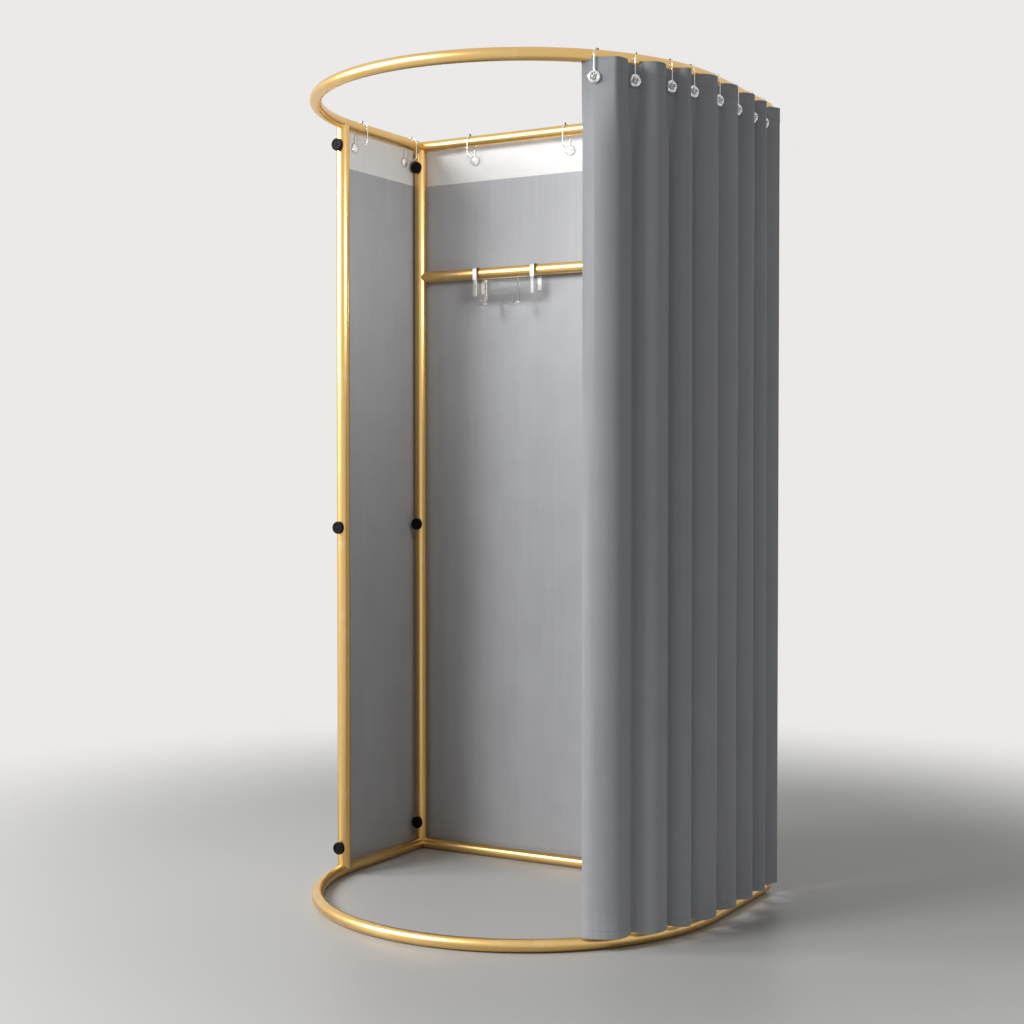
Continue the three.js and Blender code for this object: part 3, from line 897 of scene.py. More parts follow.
@dataclass
class Knobs:
    """The twelve locking knobs, each of which turns on its own body."""

    palette: Palette
    shop: Workshop
    steps: int = 64
    collar_base: float = 0.0178
    head_back: float = 0.0195
    head_front: float = 0.0295
    head_radius: float = 0.0156
    collar_radius: float = 0.006
    dish_radius: float = 0.0115
    dish_depth: float = 0.0014
    boss_radius: float = 0.0042
    boss_rise: float = 0.7
    edge: float = 0.0012
    back_steps: int = 3
    front_steps: int = 5
    stud_radius: float = 0.003
    stud_tip: float = 0.010
    rib_count: int = 30
    rib_radius: float = 0.0007
    rib_length: float = 0.0066
    levels: tuple[tuple[str, float], ...] = (("low", 0.075), ("middle", 0.922), ("high", 1.925))

    def knob(self) -> Mesh:
        """Make one knob about +Z, from the post's axis outwards."""
        floor = self.head_front - self.dish_depth
        back, front, edge = self.head_back, self.head_front, self.edge
        boss = floor + edge * self.boss_rise
        profile = [(0.0, self.stud_tip), (self.stud_radius, self.stud_tip),
                   (self.stud_radius, self.collar_base), (self.collar_radius, self.collar_base),
                   (self.collar_radius, back), (self.head_radius - edge / 2, back)]
        profile += arc((self.head_radius - edge / 2, back + edge / 2), edge / 2, -90, 0,
                       self.back_steps)[1:]
        profile += arc((self.head_radius - edge, front - edge), edge, 0, 90, self.front_steps)
        profile += [(self.dish_radius, front), (self.dish_radius - self.dish_depth, floor),
                    (self.boss_radius + edge / 2, floor), (self.boss_radius, floor + edge / 2),
                    (self.boss_radius - edge, boss), (0.0, boss)]
        body = add_object("knob", lathe_mesh("knob", profile, self.steps))
        return self.shop.grip.run(body, Count=self.rib_count, Ring=self.head_radius, Rib=self.rib_radius,
                                  Length=self.rib_length, Height=(back + front) / 2,
                                  Finish=self.palette.black)

    def build(self) -> None:
        """Put a knob on its body at each height of each post."""
        pattern = self.knob()
        facing = Matrix.Rotation(math.radians(90), 4, "X")
        for side in Side:
            for row in ("rear", "front"):
                x, y = PLAN.post_place(side, row == "front")
                for level, height in self.levels:
                    node = f"{row}_{side.name.lower()}_knob_{level}"
                    mesh = pattern.copy()
                    mesh.transform(Matrix.Translation((x, y, height)) @ facing)
                    dress(add_object(f"grip_{node}", mesh), node, Slot.KNOB, node)
        bpy.data.meshes.remove(pattern)
        LOG.info("12 knobs")


# Cloth


@dataclass(frozen=True)
class ClothGrid:
    """A sheet's middle surface as rows of points, with its thickness at each one.

    Attributes:
        middle: Points, as an array of rows, columns and XYZ.
        normal: The outward direction at each point.
        thickness: The cloth's thickness at each point.
        chart: Distance along and up the cloth at each point, in metres.
    """

    middle: np.ndarray
    normal: np.ndarray
    thickness: np.ndarray
    chart: np.ndarray

    def face(self, side: int) -> np.ndarray:
        """Find the points of the outer face, side 1, or of the inner one, side -1."""
        return self.middle + self.normal * (side * self.thickness / 2)[:, :, None]

    def mesh(self, name: str, finish: Material) -> Mesh:
        """Make the closed mesh of the cloth, with its map.

        Args:
            name: Name of the mesh.
            finish: The cloth's material.

        Returns:
            A mesh with an outer face, an inner face and a rim.
        """
        rows, columns = self.thickness.shape
        outer, inner = self.face(1).reshape(-1, 3), self.face(-1).reshape(-1, 3)
        points = np.concatenate([outer, inner])
        number = np.arange(rows * columns).reshape(rows, columns)
        below, above = number[:-1, :-1].ravel(), number[1:, :-1].ravel()
        quads = np.stack([below, below + 1, above + 1, above], axis=1)
        back = rows * columns
        rim = np.concatenate([number[0, :], number[1:, -1], number[-1, -2::-1], number[-2:0:-1, 0]])
        after = np.roll(rim, -1)
        edge = np.stack([rim, rim + back, after + back, after], axis=1)
        sample = (rows // 2) * (columns - 1) + columns // 2
        a, b, d = (points[quads[sample, i]] for i in (0, 1, 3))
        facing = float(np.cross(b - a, d - a) @ self.normal.reshape(-1, 3)[quads[sample, 0]])
        if facing < 0:
            quads, edge = quads[:, ::-1], edge[:, ::-1]
        faces = np.concatenate([quads, quads[:, ::-1] + back, edge])
        mesh = bpy.data.meshes.new(name)
        mesh.from_pydata(points.tolist(), [], faces.tolist())
        chart = np.concatenate([self.chart.reshape(-1, 2)] * 2)
        layer = mesh.uv_layers.new(name="cloth")
        corners = np.zeros(len(mesh.loops), np.int32)
        mesh.loops.foreach_get("vertex_index", corners)
        layer.uv.foreach_set("vector", chart[corners].astype(np.float32).ravel())
        mesh.materials.append(finish)
        return smooth(mesh, CLOTH_CREASE)


def grid_normals(middle: np.ndarray, outwards: np.ndarray) -> np.ndarray:
    """Find the normal at each point of a grid, on the side of the outward hints."""
    along = np.gradient(middle, axis=1)
    up = np.gradient(middle, axis=0)
    normal = np.cross(along, up)
    normal /= np.linalg.norm(normal, axis=2)[:, :, None]
    sign = np.sign((normal * outwards).sum(axis=2))
    return normal * sign[:, :, None]


def run_lengths(line: np.ndarray) -> np.ndarray:
    """List the distance along a line at each of its points."""
    steps = np.linalg.norm(np.diff(line, axis=0), axis=1)
    return np.concatenate([[0.0], np.cumsum(steps)])


def spaced(marks: Sequence[float], step: float) -> np.ndarray:
    """List numbers through the marks, with steps no longer than the given one."""
    found = [marks[0]]
    for before, after in zip(marks, marks[1:]):
        count = max(1, math.ceil((after - before) / step))
        found.extend(before + (after - before) * (i + 1) / count for i in range(count))
    return np.array(found)


def side_by_side(arrays: Sequence[np.ndarray]) -> np.ndarray:
    """Join arrays along their columns, with the column that two of them share once."""
    return np.concatenate([arrays[0], *[array[:, 1:] for array in arrays[1:]]], axis=1)


def between(low: float, high: float, share: float | np.ndarray) -> float | np.ndarray:
    """Find the value at a share of the way from one value to another."""
    return low + (high - low) * share


def smoothstep(value: np.ndarray | float, low: float, high: float) -> np.ndarray:
    """Rise softly from 0 at the low value to 1 at the high one."""
    share = np.clip((value - low) / (high - low), 0.0, 1.0)
    return share * share * (3 - 2 * share)


@dataclass(frozen=True)
class Sewing:
    """Sizes of the hems and of their stitches."""

    cloth: float = 0.0013
    hem: float = 0.0024
    hem_width: float = 0.022
    ramp: float = 0.0025
    inset: float = 0.004
    spacing: float = 0.006
    length: float = 0.0042
    thread: float = 0.0008


SEWING = Sewing()


def sew(shop: Workshop, line: np.ndarray, finish: Material) -> Mesh:
    """Sew one row of stitches along a line on the cloth."""
    return shop.stitches.run(path_object(line.tolist()), Spacing=SEWING.spacing,
                             Length=SEWING.length, Thread=SEWING.thread, Finish=finish)


@dataclass
class WallCloth:
    """A hanging panel: grey cloth, sewn to a white header band.

    Its waves each have a height, a rate along the panel, a rate upwards and a phase.
    The overlap is the cloth past the end of the rail that carries the hooks.
    """

    palette: Palette
    shop: Workshop
    name: str
    start: Point
    along: Point
    outwards: Point
    length: float
    overlap: float
    rail: float
    hook_shares: tuple[float, ...]
    bottom: float = 0.016
    seam: float = 1.878
    top: float = 1.983
    top_sag: float = 0.001
    wave: float = 0.0022
    wave_level: float = 0.5
    waves: tuple[Colour, ...] = ((0.28, 9.1, 1.1, 0.0), (0.22, 17.0, -2.3, 1.3))
    step: float = 0.03
    stand: float = 0.024
    full_hang: float = 0.9
    sag_depth: float = 0.05
    seam_gap: float = 0.00004

    @property
    def hook_places(self) -> tuple[float, ...]:
        """Distances of the hooks along the panel."""
        return tuple(self.overlap + share * self.rail for share in self.hook_shares)

    def surface(self, across: np.ndarray, heights: np.ndarray) -> np.ndarray:
        """Find the middle surface over distances along the panel and heights."""
        u, z = np.meshgrid(across, heights)
        hang = smoothstep(self.seam - z, 0.0, self.full_hang)
        ripple = self.wave_level
        for height, across_rate, up_rate, phase in self.waves:
            ripple = ripple + height * np.sin(across_rate * u + up_rate * z + phase)
        drop = np.zeros_like(u)
        places = (0.0, *self.hook_places, self.length)
        for before, after in zip(places, places[1:]):
            inside = (u >= before) & (u <= after)
            share = np.clip((u - before) / (after - before), 0.0, 1.0)
            drop = np.where(inside, np.sin(math.pi * share) ** 2, drop)
        z = z - self.top_sag * drop * smoothstep(z, self.top - self.sag_depth, self.top)
        out = self.wave * hang * ripple
        start, along, outwards = np.array((self.start, self.along, self.outwards), float)
        points = start + u[:, :, None] * along + out[:, :, None] * outwards
        points[:, :, 2] = z
        return points

    def grid(self, bottom: float, top: float, hems: Sequence[str]) -> ClothGrid:
        """Make the grid of one cloth of the panel.

        Args:
            bottom: Its lower edge.
            top: Its upper edge.
            hems: Which of its edges are hemmed: bottom, top or sides.

        Returns:
            The grid, thicker along its hems.
        """
        width, ramp = SEWING.hem_width, SEWING.ramp
        across = spaced([0.0, width - ramp, width, self.length - width, self.length - width + ramp,
                         self.length], self.step)
        marks = [bottom, bottom + width - ramp, bottom + width, top - width, top - width + ramp, top]
        heights = spaced(marks, self.step)
        middle = self.surface(across, heights)
        outwards = np.broadcast_to(np.array(self.outwards, float), middle.shape)
        u, z = np.meshgrid(across, heights)
        edges = {
            "bottom": z - bottom,
            "top": top - z,
            "sides": np.minimum(u, self.length - u),
        }
        fold = np.zeros_like(u)
        for hem in hems:
            fold = np.maximum(fold, 1 - smoothstep(edges[hem], width - ramp, width))
        thickness = between(SEWING.cloth, SEWING.hem, fold)
        return ClothGrid(middle, grid_normals(middle, outwards), thickness, np.stack([u, z], axis=2))

    def rows(self, grid: ClothGrid, lines: Sequence[tuple[str, float]]) -> list[np.ndarray]:
        """Find lines for stitches on both faces of a cloth.

        Args:
            grid: The cloth.
            lines: Each line as the axis that it is level on, u or z, and its place.

        Returns:
            The lines of points.
        """
        found = []
        for side in (1, -1):
            face = grid.face(side)
            for axis, level in lines:
                if axis == "z":
                    row = int(np.argmin(np.abs(grid.chart[:, 0, 1] - level)))
                    line = face[row].copy()
                    line[:, 2] = level
                else:
                    column = int(np.argmin(np.abs(grid.chart[0, :, 0] - level)))
                    line = face[:, column].copy()
                found.append(line[1:-1])
        return found

    def build(self, grey_nodes: Sequence[str], white_nodes: Sequence[str]) -> None:
        """Build the panel's two cloths with their stitches."""
        inset, width = SEWING.inset, SEWING.hem_width
        grey = self.grid(self.bottom, self.seam - self.seam_gap, ("bottom", "sides"))
        white = self.grid(self.seam + self.seam_gap, self.top, ("bottom", "top", "sides"))
        plans = (
            ("panel", grey, self.palette.grey, self.palette.grey_thread, Slot.GREY, grey_nodes,
             [("z", self.bottom + width - inset), ("u", width - inset),
              ("u", self.length - width + inset)]),
            ("header", white, self.palette.white, self.palette.pale_thread, Slot.WHITE, white_nodes,
             [("z", self.seam + inset), ("z", self.seam + width - inset), ("z", self.top - inset)]),
        )
        for label, grid, finish, thread, slot, nodes, lines in plans:
            cloth = add_object(f"{self.name}_{label}_cloth", grid.mesh(f"{self.name}_{label}", finish))
            seams = [sew(self.shop, line, thread) for line in self.rows(grid, lines)]
            stitches = add_object(f"{self.name}_{label}_stitches", joined("stitches", seams))
            dress(cloth, "frame", slot, *nodes)
            dress(stitches, "frame", slot)


@dataclass
class Curtain:
    """The folded curtain, parted into pieces at its hooks; the front edge rides on the last curtain
    section.

    The hooks' shares lie between the rear corner and the front post, and between
    that post and the reach. Each sway has a share, a turn of the phase and a rate.
    """

    palette: Palette
    shop: Workshop
    reach: float = 0.751
    edge_reach: float = 0.737
    rear_tuck: float = 0.006
    behind_post: float = 0.044
    before_post: float = 0.0655
    side_shares: tuple[float, ...] = (0.15, 0.372, 0.667)
    front_shares: tuple[float, ...] = (0.237, 0.565, 0.882)
    bottom: float = 0.032
    top: float = 1.968
    valley: float = 0.008
    hook_valley: float = 0.012
    crest: float = 0.037
    valley_rise: float = 0.004
    crest_rise: float = 0.012
    hem_drop: float = 0.0025
    relax_height: float = 1.780
    pinch_height: float = 1.908
    pinch: float = 0.015
    valley_flat: float = 0.003
    fullness: float = 0.7
    crown_bulge: float = 0.35
    rear_crest_share: float = 0.36
    hook_roll: float = 0.66
    edge_offset: float = 0.008
    edge_hook_offset: float = 0.002
    roll_power: float = 1.8
    roll_hook_power: float = 0.96
    stations: int = 40
    row_step: float = 0.045
    heading: float = 0.030
    ripple: float = 0.0008
    sways: tuple[Point, ...] = ((1.0, 1.0, 5.3), (0.6, 2.1, 11.0))
    phase_step: float = 1.7
    rear_phase: float = 0.4
    front_phase: float = 13.0
    hem_relax: float = 0.4
    samples: int = 161
    dense_samples: int = 241
    softenings: int = 60
    first_moving: int = 5

    def hook_lengths(self) -> list[float]:
        """List the hooks' places along the ring, from the rear right corner."""
        behind = PLAN.front_post_length - self.behind_post
        before = PLAN.front_post_length + self.before_post
        side = [share * behind for share in self.side_shares]
        front = [before + share * (self.reach - before) for share in self.front_shares]
        return [*side, behind, before, *front]

    def offsets(self, share: np.ndarray, stretch: Stretch,
                grip: float) -> tuple[np.ndarray, np.ndarray]:
        """Find how far a stretch of cloth stands out from the ring.

        Args:
            share: Shares of the way from its first hook to its end.
            stretch: Which kind of stretch it is.
            grip: How firmly the hooks hold the cloth at this height, from 0 to 1.

        Returns:
            The offset at each share, and how far along it is from a valley to a crest.
        """
        if stretch is Stretch.FRONT_EDGE:
            return self.roll(self.hook_roll + (1 - self.hook_roll) * share, grip)
        reach = self.rear_crest_share if stretch is Stretch.REAR_EDGE else 1.0
        bulge = np.sin(math.pi * share * reach) ** self.fullness
        valley = between(self.valley, self.hook_valley, grip)
        offset = between(valley, self.crest, bulge)
        if stretch is Stretch.LEADING:
            rolled = self.roll(self.hook_roll * np.clip(2 * share - 1, 0.0, 1.0), grip)
            past = share > 0.5
            return np.where(past, rolled[0], offset), np.where(past, rolled[1], bulge)
        return offset, bulge

    def roll(self, share: np.ndarray, grip: float) -> tuple[np.ndarray, np.ndarray]:
        """Find how far the leading roll stands out, from its crest to the curtain's edge.

        Args:
            share: Shares of the way from the crest to the edge.
            grip: How firmly the hook holds the cloth at this height, from 0 to 1.

        Returns:
            The offset at each share, and how much is left of the crest's height.
        """
        edge = between(self.edge_offset, self.edge_hook_offset, grip)
        left = 1 - share ** between(self.roll_power, self.roll_hook_power, grip)
        return between(edge, self.crest, left), left

    def plan_line(self, start: float, end: float, height: float, stretch: Stretch) -> np.ndarray:
        """Draw the cloth between two lengths at one height, seen from above.

        Args:
            start: Length of the hook where the line begins.
            end: Length where it ends.
            height: The height of the line.
            stretch: Which kind of stretch it is.

        Returns:
            Length along the ring, offset and bulge of each station, evenly spaced.
        """
        grip = float(smoothstep(height, self.relax_height, self.pinch_height))
        flat = between(self.valley_flat, self.pinch, grip)
        share = np.linspace(0.0, 1.0, self.samples)
        offset, bulge = self.offsets(share, stretch, grip)
        ahead = math.copysign(1.0, end - start)
        first = start if stretch is Stretch.FRONT_EDGE else start + ahead * flat
        last = end - ahead * flat if stretch is Stretch.FOLD else end
        line = np.stack([between(first, last, share), offset, bulge], axis=1)
        line = np.concatenate([[(start, offset[0], bulge[0])], line, [(end, offset[-1], bulge[-1])]])
        dense = self.resampled(line, self.dense_samples)
        for _ in range(self.softenings):
            dense[1:-1] = (dense[:-2] + dense[1:-1] * 2 + dense[2:]) / 4
        return self.resampled(dense, self.stations)

    @staticmethod
    def resampled(line: np.ndarray, count: int) -> np.ndarray:
        """Space the points of a line evenly by their length and offset."""
        runs = run_lengths(line[:, :2])
        marks = np.linspace(0.0, runs[-1], count)
        return np.stack([np.interp(marks, runs, line[:, i]) for i in range(3)], axis=1)

    def heights(self) -> np.ndarray:
        """List the heights of the rows, closer together at the hems."""
        width, ramp = SEWING.hem_width, SEWING.ramp
        marks = [self.bottom, self.bottom + width - ramp, self.bottom + width, self.relax_height,
                 self.pinch_height, self.top - self.heading - ramp, self.top - self.heading, self.top]
        return spaced(marks, self.row_step)

    def strip(self, start: float, end: float, stretch: Stretch, phase: float) -> ClothGrid:
        """Make the grid of the cloth between two lengths.

        Args:
            start: Length of the hook where the cloth begins.
            end: Length where it ends.
            stretch: Which kind of stretch it is.
            phase: Where the soft ripples of this cloth begin.

        Returns:
            The grid, with its columns in the order of the ring.
        """
        heights = self.heights()
        middle, chart = [], []
        for height in heights:
            line = self.plan_line(start, end, float(height), stretch)
            up = (height - self.bottom) / (self.top - self.bottom)
            rise = float(smoothstep(height, self.pinch_height, self.top))
            drop = self.hem_drop * float(1 - smoothstep(height, self.bottom, self.hem_relax))
            sway = sum(share * np.sin(turn * phase + rate * up) for share, turn, rate in self.sways)
            row = []
            for step, (length, offset, bulge) in enumerate(line):
                wander = self.ripple * sway * math.sin(math.pi * step / (self.stations - 1))
                x, y = PLAN.place(length, offset + wander)
                crown = float(smoothstep(bulge, 0.0, self.crown_bulge))
                lift = rise * between(self.valley_rise, self.crest_rise, crown)
                row.append((x, y, float(height + lift - drop * bulge)))
            middle.append(row)
            runs = run_lengths(line[:, :2])
            chart.append([(phase + run, float(height)) for run in runs])
        middle, chart = np.array(middle), np.array(chart)
        if end < start:
            middle, chart = middle[:, ::-1], chart[:, ::-1]
        return self.grid(middle, chart, heights, start, end, stretch)

    def grid(self, middle: np.ndarray, chart: np.ndarray, heights: np.ndarray, start: float, end: float,
             stretch: Stretch) -> ClothGrid:
        """Add the normals and the thickness to a cloth's points."""
        low, high = min(start, end), max(start, end)
        normal = np.cross(np.gradient(middle, axis=1), np.gradient(middle, axis=0))
        normal /= np.linalg.norm(normal, axis=2)[:, :, None]
        centre = middle.shape[1] // 2
        if float((normal[:, centre] @ np.array(PLAN.outward((low + high) / 2))).sum()) < 0:
            normal = -normal
        for column, length, at_start in ((0, low, end > start), (-1, high, end < start)):
            if stretch.between_hooks or at_start:
                normal[:, column] = PLAN.outward(length)
        width, ramp = SEWING.hem_width, SEWING.ramp
        rows = heights[:, None]
        fold = 1 - smoothstep(rows - self.bottom, width - ramp, width)
        fold = np.maximum(fold, 1 - smoothstep(self.top - rows, self.heading, self.heading + ramp))
        thickness = between(SEWING.cloth, SEWING.hem, np.broadcast_to(fold, middle.shape[:2]))
        return ClothGrid(middle, normal, thickness, chart)

    def stitch_lines(self, grid: ClothGrid) -> list[np.ndarray]:
        """Find the lines of the hem's and the heading's stitches on both faces."""
        levels = (self.bottom + SEWING.hem_width - SEWING.inset, self.top - self.heading + SEWING.inset,
                  self.top - SEWING.inset)
        heights = self.heights()
        found = []
        for side in (1, -1):
            face = grid.face(side)
            for level in levels:
                above = int(np.searchsorted(heights, level))
                share = (level - heights[above - 1]) / (heights[above] - heights[above - 1])
                found.append(face[above - 1] * (1 - share) + face[above] * share)
        return found

    def piece(self, name: str, grids: Sequence[ClothGrid], nodes: Sequence[str], hooks: Sequence[int],
              hold: Callable[[Object], None]) -> None:
        """Make one piece of the curtain with its stitches.

        Args:
            name: Name of the piece.
            grids: Its strips, in the order of the ring.
            nodes: The CAD nodes that it stands for.
            hooks: Numbers of the hooks that it hangs from. Not used.
            hold: Rides an object on a body, or only bakes its place.
        """
        middle = side_by_side([grid.middle for grid in grids])
        normal = side_by_side([grid.normal for grid in grids])
        thickness = side_by_side([grid.thickness for grid in grids])
        runs = np.zeros(middle.shape[:2])
        runs[:, 1:] = np.cumsum(np.linalg.norm(np.diff(middle, axis=1), axis=2), axis=1)
        chart = np.stack([runs + grids[0].chart[0, 0, 0], middle[:, :, 2]], axis=2)
        whole = ClothGrid(middle, normal, thickness, chart)
        cloth = add_object(f"curtain_cloth_{name}", whole.mesh(name, self.palette.curtain))
        seams = [sew(self.shop, line, self.palette.grey_thread) for line in self.stitch_lines(whole)]
        stitches = add_object(f"curtain_stitches_{name}", joined("stitches", seams))
        for item in (cloth, stitches):
            hold(item)
        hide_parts(*nodes)

    def build(self) -> None:
        """Build the curtain: the standing part, the moving folds and the front edge."""
        lengths = self.hook_lengths()
        kinds = [Stretch.FOLD] * (len(lengths) - 2) + [Stretch.LEADING]
        folds = [self.strip(before, after, kind, self.phase_step * number)
                 for number, (before, after, kind) in enumerate(zip(lengths, lengths[1:], kinds))]
        rear = self.strip(lengths[0], -self.rear_tuck, Stretch.REAR_EDGE, self.rear_phase)
        front = self.strip(lengths[-1], self.edge_reach, Stretch.FRONT_EDGE, self.front_phase)
        still = self.first_moving - 2
        self.piece("standing", [rear, *folds[:still]],
                   ["curtain_edge_rear", *[f"curtain_fold_{i + 1}" for i in range(still)]],
                   range(1, still + 2), lambda item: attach(item, "frame"))
        bodies = ["frame", *[f"curtain_section_{i + 1}" for i in range(len(lengths) - still - 1)]]
        for number in range(still, len(folds)):
            before, after = bodies[number - still], bodies[number - still + 1]
            ends = [(*PLAN.place(length, self.valley), 0.0) for length in lengths[number:number + 2]]
            self.piece(f"fold_{number + 1}", [folds[number]], [f"curtain_fold_{number + 1}"],
                       [number + 1, number + 2],
                       lambda item, a=before, b=after, e=ends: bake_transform(item))
        self.piece("front_edge", [front], ["curtain_edge_front"], [len(lengths)],
                   lambda item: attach(item, bodies[-1]))


# Hooks and rack


@dataclass
class RingHooks:
    """Wire hooks with a black bead and a bright cut disc.

    Each ring of the disc's corners, from its face to its back, is given as shares
    of its radius and of its half thickness, and a turn in steps between facets.
    The facets of the face in a band of its radius, all but every third one, get a
    darker grey: painted shade in the disc's cuts.
    """

    palette: Palette
    shop: Workshop
    wire: float = 0.0013
    leg: float = 0.0195
    arch_height: float = 1.984
    disc_height: float = 1.936
    disc_radius: float = 0.014
    disc_thickness: float = 0.0065
    disc_rings: tuple[Point, ...] = ((0.24, 0.95, 0.0), (0.46, 0.2, 0.5), (0.74, 1.0, 0.0),
                                     (1.0, 0.12, 0.5), (1.0, -0.12, 0.5), (0.72, -0.9, 0.0))
    disc_crown: float = 0.8
    facets: int = 12
    # Band of the disc's radius whose facets get painted shade.
    painted_facet_shade: Band = (0.2, 0.6)
    bright_each: int = 3
    bead: float = 0.0029
    bead_place: float = 105.0
    lean: float = 35.0
    disc_turn: float = -18.0
    return_drop: float = 0.014
    return_radius: float = 0.010
    pin_end: float = 0.0283
    pin_head: float = 0.0042
    pin_head_length: float = 0.003
    pin_shoulder: float = 0.6
    pin_crown: float = 0.7
    arch_steps: int = 24
    wire_sides: int = 12
    bend_steps: int = 8
    bead_sides: int = 16
    pin_sides: int = 20
    eyelet_sides: int = 24
    cloth_place: float = 0.012
    eyelet_radius: float = 0.0046
    eyelet_half: float = 0.0008

    def leaned(self, x: float, z: float, lean: float) -> Point:
        """Place a point of the arch, which leans along the rail about the leg."""
        return x, (self.leg - x) * math.tan(math.radians(lean)), z

    def wire_line(self, lean: float) -> list[Point]:
        """List the wire's points, with x outwards from the rail's axis."""
        low = self.disc_height
        high = low + self.return_drop
        line = [(self.leg, low)]
        line += arc((0.0, self.arch_height), self.leg, 0, 180, self.arch_steps)
        line += arc((self.return_radius - self.leg, high), self.return_radius, 180, 270,
                    self.bend_steps)
        line += [(self.leg, high - self.return_radius)]
        return [self.leaned(x, z, lean) for x, z in line]

    def wire_mesh(self, points: Sequence[Point]) -> Mesh:
        """Sweep the hook's wire through the points."""
        return self.shop.tube_mesh(points, self.wire, self.wire_sides, self.palette.wire)

    def disc(self, turn: float) -> Mesh:
        """Make the cut disc, its face turned from +X about the leg, with painted shade on facets."""
        half, radius = self.disc_thickness / 2, self.disc_radius
        rings, count = self.disc_rings, self.facets
        points = [(half * self.disc_crown, 0.0, 0.0), (-half, 0.0, 0.0)]
        for reach, out, shift in rings:
            for step in range(count):
                angle = 2 * math.pi * (step + shift) / count
                points.append((half * out, radius * reach * math.cos(angle),
                               radius * reach * math.sin(angle)))
        faces = []
        for step in range(count):
            after = (step + 1) % count
            faces.append((0, 2 + step, 2 + after))
            for ring in range(len(rings) - 1):
                a, b = 2 + ring * count, 2 + (ring + 1) * count
                lean = rings[ring + 1][2] - rings[ring][2]
                if lean == 0:
                    faces.append((a + step, b + step, b + after, a + after))
                elif lean > 0:
                    faces.append((a + step, b + step, a + after))
                    faces.append((a + after, b + step, b + after))
                else:
                    faces.append((a + step, b + step, b + after))
                    faces.append((a + step, b + after, a + after))
            last = 2 + (len(rings) - 1) * count
            faces.append((1, last + after, last + step))
        mesh = bpy.data.meshes.new("disc")
        mesh.from_pydata(points, [], faces)
        facing = Matrix.Rotation(math.radians(turn), 4, "Z")
        middle = Vector((self.leg, 0.0, self.disc_height))
        mesh.transform(Matrix.Translation(middle) @ facing)
        mesh.materials.append(self.palette.crystal)
        mesh.materials.append(self.palette.painted_facet_shade)
        # Painted shade: forward facets in the band, all but every third one, get the darker grey.
        for face in mesh.polygons:
            reach = math.hypot(*(face.center - middle)) / radius
            in_painted_shade = self.painted_facet_shade[0] < reach < self.painted_facet_shade[1]
            if in_painted_shade and (facing.inverted() @ face.normal).x > 0 and face.index % self.bright_each:
                face.material_index = 1
        return mesh

    def eyelet(self, place: Point) -> Mesh:
        """Make a small metal ring on the cloth, round a wire along X."""
        radius, half = self.eyelet_radius, self.eyelet_half
        profile = [(0.0, -half), (radius, -half), (radius, half), (0.0, half)]
        ring = lathe_mesh("eyelet", profile, self.eyelet_sides)
        ring.transform(Matrix.Translation(place) @ ALONG_X)
        ring.materials.append(self.palette.wire)
        return ring

    def hook(self, panel: bool) -> Mesh:
        """Make one hook in its own plane.

        Args:
            panel: Whether it has the pin that goes through a panel's eyelet.

        Returns:
            The hook, with x outwards from the rail's axis at the origin.
        """
        lean, turn = (0.0, 0.0) if panel else (self.lean, self.disc_turn)
        wire = self.wire_mesh(self.wire_line(lean))
        x, z = arc((0.0, self.arch_height), self.leg, 0, self.bead_place, 1)[-1]
        profile = arc((0.0, 0.0), self.bead, -90, 90, self.bend_steps)
        bead = lathe_mesh("bead", [(max(0.0, x), z) for x, z in profile], self.bead_sides)
        bead.transform(Matrix.Translation(self.leaned(x, z, lean)))
        bead.materials.append(self.palette.black)
        parts = [wire, bead, self.disc(turn)]
        if not panel:
            low = self.disc_height + self.return_drop - self.return_radius
            return joined("hook", [*parts, self.eyelet(self.leaned(self.cloth_place, low, lean))])
        foot = (self.pin_end - self.pin_head_length, 0.0, self.disc_height)
        pin = self.wire_mesh([(self.leg, 0.0, self.disc_height), foot])
        radius, length = self.pin_head, self.pin_head_length
        profile = [(0.0, 0.0), (radius, 0.0), (radius, length * self.pin_shoulder),
                   (radius * self.pin_crown, length), (0.0, length)]
        head = lathe_mesh("head", profile, self.pin_sides)
        head.transform(Matrix.Translation(foot) @ ALONG_X)
        head.materials.append(self.palette.wire)
        return joined("hook", [*parts, pin, head])

    def place(self, name: str, node: str, mesh: Mesh, place: Matrix, body: str) -> None:
        """Put a copy of a hook in its place, on its body."""
        own = mesh.copy()
        own.transform(place)
        dress(add_object(name, own), body, Slot.HOOK, node)

    def build(self, curtain: Curtain, walls: Sequence[WallCloth]) -> None:
        """Hang the curtain's hooks and the panels' hooks."""
        on_ring = self.hook(panel=False)
        for number, length in enumerate(curtain.hook_lengths(), start=1):
            x, y = PLAN.place(length, 0.0)
            turn = Matrix.Rotation(PLAN.turn(length), 4, "Z")
            moving = number - curtain.first_moving + 1
            body = f"curtain_section_{moving}" if moving > 0 else "frame"
            self.place(f"ring_hook_curtain_{number}", f"curtain_hook_{number}", on_ring,
                       Matrix.Translation((x, y, 0.0)) @ turn, body)
        on_panel = self.hook(panel=True)
        for wall in walls:
            outwards = Vector(wall.outwards)
            turn = Matrix.Rotation(math.atan2(outwards.y, outwards.x), 4, "Z")
            for number, along in enumerate(wall.hook_places, start=1):
                spot = Vector(wall.start) + Vector(wall.along) * along
                spot -= outwards * wall.stand
                self.place(f"ring_hook_{wall.name}_{number}", f"{wall.name}_hook_{number}", on_panel,
                           Matrix.Translation((spot.x, spot.y, 0.0)) @ turn, "frame")
        for mesh in (on_ring, on_panel):
            bpy.data.meshes.remove(mesh)
        LOG.info("14 hooks")


